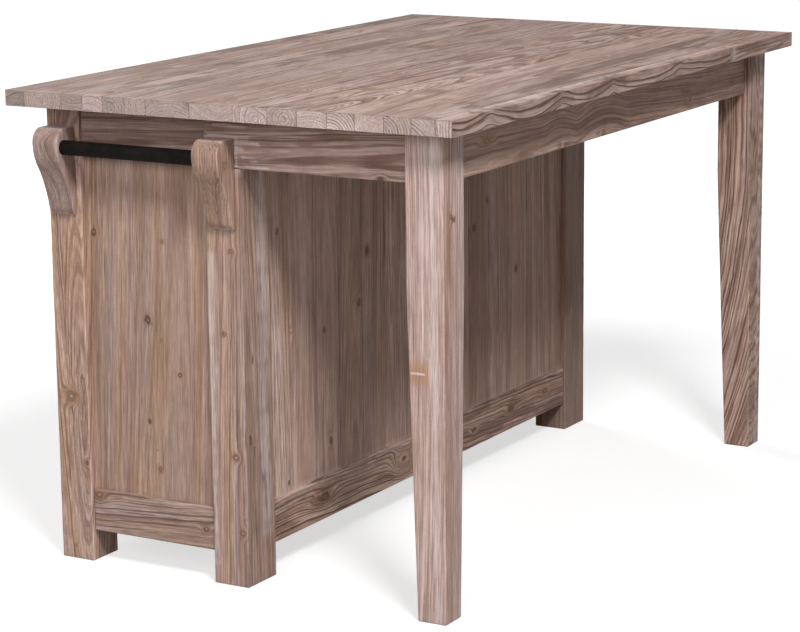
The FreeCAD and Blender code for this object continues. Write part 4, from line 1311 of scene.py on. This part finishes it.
class ISLAND_OT_end_panels(bpy.types.Operator):
    """Makes the flat panels held in the grooves of each end"""
    bl_idname = "island.end_panels"
    bl_label = "End panels"

    def execute(self, context):
        for end in ENDS:
            node = "end_panel_" + end
            lay_board(context, "glued", node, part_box(node), END_PANEL_SAWINGS[end])
        return {"FINISHED"}


# Boards of the seating side: the first ones, beside the near post, are painted paler as painted light where
# the lamp reaches them, and the first has the most lime
PAINTED_LIGHT_BOARDS = {0: 0.25, 1: 0.2, 2: 0.1}
V_JOINT_STEPS = 2
SEAT_KNOTS = knots_on(
    "seat_boards", ACROSS, (-0.526, 0.457, 0.007, 0.9), (-0.276, 0.462, 0.007), (-0.243, 0.560, 0.007, 0.1),
    (-0.408, 0.434, 0.005, 0.2), (-0.389, 0.209, 0.007, 0.1), (-0.543, 0.162, 0.004),
    (-0.567, 0.652, 0.004, 0.3), (0.256, 0.585, 0.006), (0.198, 0.534, 0.008), (0.389, 0.414, 0.007, 0.2))


def seat_board_sawing(name, number, left, right):
    """A seeded cut for an upright board, with the knots that lie between its two edges."""
    draw = random.Random(name)
    # The first boards' tone is raised as painted light, for the lamp's light that reaches them past the near
    # post
    return Sawing(UP, heart=seeded_heart(draw, 0.06), lean=seeded_lean(draw, 0.03), contrast=0.7, relief=0.45,
                  tone=draw.uniform(1.0, 1.1) + PAINTED_LIGHT_BOARDS.get(number, 0.0), warmth=draw.uniform(0.3, 0.8),
                  lime=1.0 if number == 0 else draw.uniform(0.3, 0.6),
                  knots=[knot for knot in SEAT_KNOTS if left <= knot.place[ALONG] < right])


class ISLAND_OT_seat_boards(bpy.types.Operator):
    """Makes the tongued boards behind the seating side, V-jointed on their show face"""
    bl_idname = "island.seat_boards"
    bl_label = "Seating-side boards"

    def execute(self, context):
        shaping = context.scene.island_shaping
        low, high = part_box("seat_boards")
        pitch = (high.x - low.x) / SEAT_BOARD_COUNT

        def is_jointed(edge):
            return runs_along(edge, UP) and edge.verts[0].co.y < low.y + TOUCH

        boards = []
        for number in range(SEAT_BOARD_COUNT):
            name = f"seat_board_{number + 1}"
            left = low.x + number * pitch
            piece = blank(name, (left, low.y, low.z), (left + pitch, high.y, high.z))
            ease(shaping.joint_chamfer, ROUND, is_jointed, V_JOINT_STEPS)
            divide(ALONG, shaping.cell)
            divide(UP, shaping.cell)
            edit(False)
            weather(piece, 0.0, shaping.planing_depth)
            give_grain(piece, seat_board_sawing(name, number, left, left + pitch))
            boards.append(piece)
        in_pine(context, joined("v_jointed_boards", boards), "seat_boards")
        return {"FINISHED"}


# Face frame of the working side
def bay(number, shaping):
    """Low and high X of a bay of the working side."""
    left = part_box("work_post_near")[1].x
    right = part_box("work_post_far")[0].x
    width = (right - left - (BAY_COUNT - 1) * shaping.stile_width) / BAY_COUNT
    start = left + number * (width + shaping.stile_width)
    return start, start + width


class ISLAND_OT_face_frame(bpy.types.Operator):
    """Makes the face frame round the drawers and doors of the working side"""
    bl_idname = "island.face_frame"
    bl_label = "Face frame"

    def execute(self, context):
        shaping = context.scene.island_shaping
        for node in ("face_top_rail", "face_bottom_rail"):
            corners = cut_to(node, ALONG, "work_post_near", "work_post_far")
            lay_board(context, "long", node, corners, plain_sawing(node, ALONG, *corners))
        bays = [bay(number, shaping) for number in range(BAY_COUNT)]
        between = [(first[1], second[0]) for first, second in zip(bays, bays[1:])]
        low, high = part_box("face_stiles")
        low.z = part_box("face_bottom_rail")[1].z
        high.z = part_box("face_top_rail")[0].z
        stiles = self.row("stile", UP, between, low, high, shaping)
        in_pine(context, joined("bay_stiles", stiles), "face_stiles")
        rails = self.row("drawer_rail", ALONG, bays, *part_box("face_middle_rails"), shaping)
        in_pine(context, joined("drawer_rails", rails), "face_middle_rails")
        return {"FINISHED"}

    def row(self, kind, axis, spans, low, high, shaping):
        """Like boards side by side, each with its own low and high X."""
        boards = []
        for number, (left, right) in enumerate(spans, start=1):
            name = f"{kind}_{number}"
            corners = Vector((left, low.y, low.z)), Vector((right, high.y, high.z))
            boards.append(board(name, *corners, plain_sawing(name, axis, *corners), shaping))
        return boards


# Corbels: how far the outline stands out from the post and how far down from the top, in metres
CORBEL_CROWN = ((0.037, 0.0), (0.0525, 0.011), (0.057, 0.034))
CORBEL_BELLY = ((0.057, 0.034), (0.0535, 0.055), (0.043, 0.076))
CORBEL_HOLLOW = ((0.043, 0.076), (0.025, 0.115), (0.013, 0.158))
CORBEL_TOE = (0.004, 0.168)
CORBEL_CURVES = (CORBEL_CROWN, CORBEL_BELLY, CORBEL_HOLLOW)
CORBEL_STEPS = 3
SOCKET_SLACK = 0.0004
ROUND_SIDES = 48
ROW_DIGITS, ROW_TOLERANCE = 4, 0.0002

# Shares of a board's cells and wear that suit a piece this small
ROW_SHARE, CELL_SHARE, KNOCK_SHARE, PLANING_SHARE = 0.25, 0.5, 0.25, 0.5
CORBEL_SAWINGS = {
    "corbel_seat": Sawing(UP, heart=(-0.012, 0.030), lean=(0.03, 0.02), ring=0.6, contrast=0.5, relief=0.6,
                          warmth=0.8, tone=0.88, lime=0.35,
                          knots=knots_on("corbel_seat", ACROSS, (-0.738, 0.800, 0.006, 0.7))),
    "corbel_work": Sawing(UP, heart=(-0.016, -0.030), lean=(-0.03, 0.03), ring=0.7, contrast=0.6, relief=0.7,
                          warmth=0.0, tone=0.93, lime=0.8),
}


def arc_reach(curve, drop):
    """How far an arc through three points stands out at a drop."""
    (x1, z1), (x2, z2), (x3, z3) = curve
    span = 2 * (x1 * (z2 - z3) + x2 * (z3 - z1) + x3 * (z1 - z2))
    squares = (x1 * x1 + z1 * z1, x2 * x2 + z2 * z2, x3 * x3 + z3 * z3)
    centre_x = (squares[0] * (z2 - z3) + squares[1] * (z3 - z1) + squares[2] * (z1 - z2)) / span
    centre_z = (squares[0] * (x3 - x2) + squares[1] * (x1 - x3) + squares[2] * (x2 - x1)) / span
    radius = math.hypot(x1 - centre_x, z1 - centre_z)
    side = 1 if x2 > centre_x else -1
    return centre_x + side * math.sqrt(max(radius ** 2 - (drop - centre_z) ** 2, 0.0))


def corbel_reach(drop):
    """How far a corbel stands out from its post at a drop below its top."""
    for curve in CORBEL_CURVES:
        if drop <= curve[2][1]:
            return arc_reach(curve, drop)
    foot, toe = CORBEL_HOLLOW[2], CORBEL_TOE
    return foot[0] + (toe[0] - foot[0]) * (drop - foot[1]) / (toe[1] - foot[1])


def bar_rod(slack=0.0):
    """A plain rod where the towel bar lies."""
    low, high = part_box("towel_bar")
    bpy.ops.object.select_all(action="DESELECT")
    bpy.ops.mesh.primitive_cylinder_add(vertices=ROUND_SIDES, radius=(high.z - low.z) / 2 + slack,
                                        depth=high.y - low.y, location=(low + high) / 2,
                                        rotation=(math.pi / 2, 0, 0))
    return bpy.context.object


class ISLAND_OT_corbels(bpy.types.Operator):
    """Saws the two scrolled corbels from blanks and bores them for the towel bar"""
    bl_idname = "island.corbels"
    bl_label = "Corbels"

    def execute(self, context):
        shaping = context.scene.island_shaping
        for node, sawing in CORBEL_SAWINGS.items():
            piece = self.scrolled(node, shaping)
            ease(shaping.corbel_arris, ROUND, self.is_sawn_arris, CORBEL_STEPS, self.is_sawn)
            divide(ACROSS, CELL_SHARE * shaping.cell)
            edit(False)
            weather(piece, KNOCK_SHARE * shaping.knock_depth, PLANING_SHARE * shaping.planing_depth)
            self.bore(piece)
            give_grain(piece, sawing)
            in_pine(context, piece, node)
        return {"FINISHED"}

    def scrolled(self, node, shaping):
        """A blank whose front is moved back to the outline, row by row."""
        low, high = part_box(node)
        piece = blank("scrolled_" + node, low, high)
        divide(UP, ROW_SHARE * shaping.cell)
        points = bmesh.from_edit_mesh(piece.data).verts
        for level in sorted({round(point.co.z, ROW_DIGITS) for point in points}):
            back_off = high.x - low.x - corbel_reach(high.z - level)
            pick("VERT", lambda point: abs(point.co.z - level) < ROW_TOLERANCE
                 and point.co.x < high.x - ROW_TOLERANCE)
            bpy.ops.transform.translate(value=(back_off, 0, 0))
        return piece

    def is_sawn_arris(self, edge):
        sideways = [abs(face.normal.y) > TURNED for face in edge.link_faces]
        return len(sideways) == 2 and sideways[0] != sideways[1]

    def is_sawn(self, face):
        return abs(face.normal.y) > SQUARE or abs(face.normal.y) < 1 - SQUARE

    def bore(self, piece):
        """Socket for the bar, open on the side that looks at the other corbel."""
        drill = bar_rod(SOCKET_SLACK)
        bpy.context.view_layer.objects.active = piece
        bpy.ops.object.modifier_add(type="BOOLEAN")
        modifier = piece.modifiers[-1]
        modifier.operation = "DIFFERENCE"
        modifier.object = drill
        bpy.ops.object.modifier_apply(modifier=modifier.name)
        bpy.data.objects.remove(drill)
        bpy.ops.object.select_all(action="DESELECT")
        piece.select_set(True)
        bpy.ops.object.shade_smooth_by_angle(angle=SMOOTH_ANGLE)


# Towel bar
BAR_END_ANGLE = math.radians(60)
BAR_END_EASING, BAR_END_STEPS = 0.0015, 3
BAR_WAVER = 0.00025


class ISLAND_OT_towel_bar(bpy.types.Operator):
    """Makes the black towel bar that stands in the sockets of the corbels"""
    bl_idname = "island.towel_bar"
    bl_label = "Towel bar"

    def execute(self, context):
        piece = bar_rod()
        bpy.ops.object.transform_apply()
        piece.name = "painted_towel_bar"
        edit(True)
        pick("EDGE", lambda edge: edge.calc_face_angle(0) > BAR_END_ANGLE)
        bpy.ops.mesh.bevel(offset=BAR_END_EASING, segments=BAR_END_STEPS, profile=ROUND, affect="EDGES")
        divide(ACROSS, CELL_SHARE * context.scene.island_shaping.cell)
        edit(False)
        weather(piece, 0.0, BAR_WAVER)
        in_black(context, piece, "towel_bar")
        return {"FINISHED"}


# Drawer fronts and doors
FRONT_KNOTS = 3
DOOR_STRIP = (ALONG, 0.09, 3)


class ISLAND_OT_drawer_fronts(bpy.types.Operator):
    """Makes the drawer fronts of the working side"""
    bl_idname = "island.drawer_fronts"
    bl_label = "Drawer fronts"

    def execute(self, context):
        for number in BAYS:
            node = f"drawer_{number}_front"
            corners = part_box(node)
            lay_board(context, "planed", node, corners, plain_sawing(node, ALONG, *corners, FRONT_KNOTS))
        return {"FINISHED"}


class ISLAND_OT_doors(bpy.types.Operator):
    """Makes the framed doors: two stiles, two rails and a panel each"""
    bl_idname = "island.doors"
    bl_label = "Doors"

    def execute(self, context):
        for number in BAYS:
            boards = self.frame_boards(number, context.scene.island_shaping)
            in_pine(context, joined(f"framed_door_{number}", boards), f"door_{number}_frame")
            node = f"door_{number}_panel"
            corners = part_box(node)
            sawing = plain_sawing(node, UP, *corners, FRONT_KNOTS)
            sawing.strip = DOOR_STRIP
            lay_board(context, "glued", node, corners, sawing)
        return {"FINISHED"}

    def frame_boards(self, number, shaping):
        low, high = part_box(f"door_{number}_frame")
        width = shaping.door_frame_width
        left, right = low.x + width, high.x - width
        bottom, top = low.z + width, high.z - width
        parts = {
            "hinge_stile": (UP, low, Vector((left, high.y, high.z))),
            "lock_stile": (UP, Vector((right, low.y, low.z)), high),
            "lower_rail": (ALONG, Vector((left, low.y, low.z)), Vector((right, high.y, bottom))),
            "upper_rail": (ALONG, Vector((left, low.y, top)), Vector((right, high.y, high.z))),
        }
        boards = []
        for part, (axis, *corners) in parts.items():
            name = f"door_{number}_{part}"
            boards.append(board(name, *corners, plain_sawing(name, axis, *corners), shaping))
        return boards


# Knobs: radius and height above the front at each step of the turning, in metres
KNOB_TURNING = (
    (0.0100, 0.0000), (0.0100, 0.0022), (0.0092, 0.0030), (0.0078, 0.0042), (0.0070, 0.0070),
    (0.0070, 0.0095), (0.0082, 0.0120), (0.0112, 0.0140), (0.0146, 0.0158), (0.0158, 0.0178),
    (0.0160, 0.0195), (0.0154, 0.0222), (0.0132, 0.0250), (0.0098, 0.0268), (0.0055, 0.0278),
    (0.0020, 0.0280))
KNOB_SIDES = 40
KNOB_SMOOTH_ANGLE = math.radians(50)
KNOB_CARRIERS = {"drawer": "front", "door": "frame"}


class ISLAND_OT_knobs(bpy.types.Operator):
    """Turns the black knobs of the drawers and doors"""
    bl_idname = "island.knobs"
    bl_label = "Knobs"

    def execute(self, context):
        for kind, carrier in KNOB_CARRIERS.items():
            for number in BAYS:
                node = f"{kind}_{number}_knob"
                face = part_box(f"{kind}_{number}_{carrier}")[1].y
                in_black(context, self.turned(node, face), node)
        return {"FINISHED"}

    def turned(self, node, face):
        """A knob drawn out of a disc on a front, step by step."""
        low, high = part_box(node)
        centre = Vector(((low.x + high.x) / 2, face, (low.z + high.z) / 2))
        bpy.ops.object.select_all(action="DESELECT")
        bpy.ops.mesh.primitive_circle_add(vertices=KNOB_SIDES, radius=KNOB_TURNING[0][0], fill_type="NGON",
                                          location=centre, rotation=(math.pi / 2, 0, 0))
        bpy.ops.object.transform_apply()
        piece = bpy.context.object
        piece.name = "turned_" + node
        edit(True)
        pick_all()
        for (radius, height), (next_radius, next_height) in zip(KNOB_TURNING, KNOB_TURNING[1:]):
            bpy.ops.mesh.extrude_region_move(TRANSFORM_OT_translate={"value": (0, next_height - height, 0)})
            growth = next_radius / radius
            bpy.ops.transform.resize(value=(growth, 1, growth),
                                     center_override=(centre.x, centre.y + next_height, centre.z))
        bpy.ops.mesh.select_all(action="SELECT")
        bpy.ops.mesh.normals_make_consistent(inside=False)
        edit(False)
        bpy.ops.object.shade_smooth_by_angle(angle=KNOB_SMOOTH_ANGLE)
        return piece


# Solids that stay: the inside of the cabinet and its ironmongery
INSIDE_GRAIN = {
    "cabinet_floor": ALONG, "shelves": ALONG, "corner_braces": ALONG, "partitions": UP,
    "shelf_cleats": ACROSS, "drawer_runners": ACROSS, "top_buttons": ACROSS}
INSIDE_GRAIN.update({f"drawer_{number}_box": ACROSS for number in BAYS})
INSIDE_GRAIN.update({f"drawer_{number}_bottom": ALONG for number in BAYS})
STEEL_NODES = ["hinge_frame_leaves", "hinge_pins", "door_catches"]
STEEL_NODES += [f"door_{number}_fittings" for number in BAYS]


class ISLAND_OT_inside(bpy.types.Operator):
    """Finishes the solids that stay as they are: bare pine inside, blackened steel on hinges and catches"""
    bl_idname = "island.inside"
    bl_label = "Inside and ironmongery"

    def execute(self, context):
        finish = context.scene.island_finish
        for node, axis in INSIDE_GRAIN.items():
            self.refinish(node, finish_named("bare_pine_" + AXIS_NAMES[axis], bare_pine, finish, axis))
        for node in STEEL_NODES:
            self.refinish(node, finish_named("blackened_steel", blackened_steel, finish))
        return {"FINISHED"}

    def refinish(self, node, material):
        for place in frame["nodes"][node].material_slots:
            place.material = material


# Stage
FLOOR_SIZE = 60.0
FLOOR_SPECK, FLOOR_DIM, FLOOR_ROUGHNESS = Noise((3.0, 3.0, 3.0)), 0.99, 0.9
NEAR_FLOOR, FAR_FLOOR = 1.2, 3.5
WHITE = (1.0, 1.0, 1.0)
KEY_PLACE, KEY_SIZE = (-3.27, -3.27, 5.08), 1.4
END_PLACE, END_SIZE = (-5.6, -1.0, 3.0), 3.4
BACK_PLACE, BACK_SIZE = (2.2, 4.2, 3.4), 3.0
LAMP_TARGET = Vector((0.0, 0.0, 0.5))
SENSOR_WIDTH = 36.0
SIGHT = 200.0


class ISLAND_OT_stage(bpy.types.Operator):
    """Sets the floor, the soft lamps and the camera"""
    bl_idname = "island.stage"
    bl_label = "Stage"

    def execute(self, context):
        stage = context.scene.island_stage
        context.scene.view_settings.view_transform = "Standard"
        self.floor(stage)
        self.sky(context, stage)
        self.lamp("key_lamp", KEY_PLACE, KEY_SIZE, stage.key_power)
        self.lamp("end_lamp", END_PLACE, END_SIZE, stage.end_power)
        self.lamp("back_lamp", BACK_PLACE, BACK_SIZE, stage.back_power)
        self.camera(context, stage)
        return {"FINISHED"}

    def seen(self, mix):
        """1 where the eye meets a surface straight, in a gloss or through glass."""
        path = mix.add("LightPath").node.outputs
        rays = mix.sum(path["Is Camera Ray"], path["Is Glossy Ray"], path["Is Transmission Ray"])
        return mix.math("MINIMUM", rays, 1.0)

    def floor(self, stage):
        bpy.ops.object.select_all(action="DESELECT")
        bpy.ops.mesh.primitive_plane_add(size=FLOOR_SIZE)
        floor = bpy.context.object
        floor.name = "floor"
        mix = Recipe(bpy.data.materials.new("pale_floor"))
        speck = mix.noise(mix.object_place(), FLOOR_SPECK)
        distance = mix.add("VectorMath", mix.object_place(), operation="LENGTH", output=1)
        lift = mix.step(distance, Rise(NEAR_FLOOR, FAR_FLOOR, stage.floor_lift))
        dim = [value * FLOOR_DIM for value in stage.floor_colour]
        mix.set({"Base Color": mix.blend(speck, stage.floor_colour, dim), "Roughness": FLOOR_ROUGHNESS,
                 "Specular IOR Level": 0.0, "Emission Color": WHITE,
                 "Emission Strength": mix.times(self.seen(mix), lift)})
        floor.data.materials.append(mix.owner)

    def sky(self, context, stage):
        mix = Recipe(bpy.data.worlds.new("studio"))
        mix.set({"Color": WHITE, "Strength": mix.step(self.seen(mix), Rise(0.0, 1.0, stage.sky_level))})
        context.scene.world = mix.owner

    def lamp(self, name, place, size, power):
        bpy.ops.object.light_add(type="AREA", location=place)
        lamp = bpy.context.object
        lamp.name = name
        lamp.data.shape = "DISK"
        lamp.data.size = size
        lamp.data.energy = power
        lamp.rotation_euler = (LAMP_TARGET - Vector(place)).to_track_quat("-Z", "Y").to_euler()

    def camera(self, context, stage):
        bpy.ops.object.camera_add(location=stage.camera_place)
        camera = bpy.context.object
        camera.name = "photo_camera"
        facing = Euler((math.pi / 2 + stage.camera_pitch, 0, stage.camera_yaw - math.pi / 2)).to_matrix()
        camera.rotation_euler = (facing @ Matrix.Rotation(-stage.camera_roll, 3, "Z")).to_euler()
        camera.data.sensor_width = SENSOR_WIDTH
        camera.data.lens = stage.lens
        camera.data.clip_end = SIGHT
        context.scene.camera = camera


STEPS = (ISLAND_OT_stage, ISLAND_OT_worktop, ISLAND_OT_legs, ISLAND_OT_posts, ISLAND_OT_aprons,
         ISLAND_OT_rails, ISLAND_OT_end_panels, ISLAND_OT_seat_boards, ISLAND_OT_face_frame,
         ISLAND_OT_corbels, ISLAND_OT_towel_bar, ISLAND_OT_drawer_fronts, ISLAND_OT_doors, ISLAND_OT_knobs,
         ISLAND_OT_inside)


class ISLAND_PT_panel(bpy.types.Panel):
    """Lists the steps and their values"""
    bl_idname = "ISLAND_PT_panel"
    bl_label = "Kitchen island"
    bl_space_type = "VIEW_3D"
    bl_region_type = "UI"
    bl_category = "Island"

    def draw(self, context):
        for step in STEPS:
            self.layout.operator(step.bl_idname)
        for group in (context.scene.island_shaping, context.scene.island_finish, context.scene.island_stage):
            box = self.layout.box()
            for name in group.bl_rna.properties.keys():
                if name not in ("rna_type", "name"):
                    box.prop(group, name)


GROUPS = {"island_shaping": IslandShaping, "island_finish": IslandFinish, "island_stage": IslandStage}


def register():
    for group in GROUPS.values():
        bpy.utils.register_class(group)
    for name, group in GROUPS.items():
        setattr(bpy.types.Scene, name, PointerProperty(type=group))
    for kind in STEPS + (ISLAND_PT_panel,):
        bpy.utils.register_class(kind)


def unregister():
    for kind in (ISLAND_PT_panel,) + STEPS[::-1]:
        bpy.utils.unregister_class(kind)
    for name in GROUPS:
        delattr(bpy.types.Scene, name)
    for group in GROUPS.values():
        bpy.utils.unregister_class(group)


def main():
    register()
    for step in STEPS:
        getattr(bpy.ops.island, step.bl_idname.split(".")[1])()


if __name__ == "__main__":
    main()
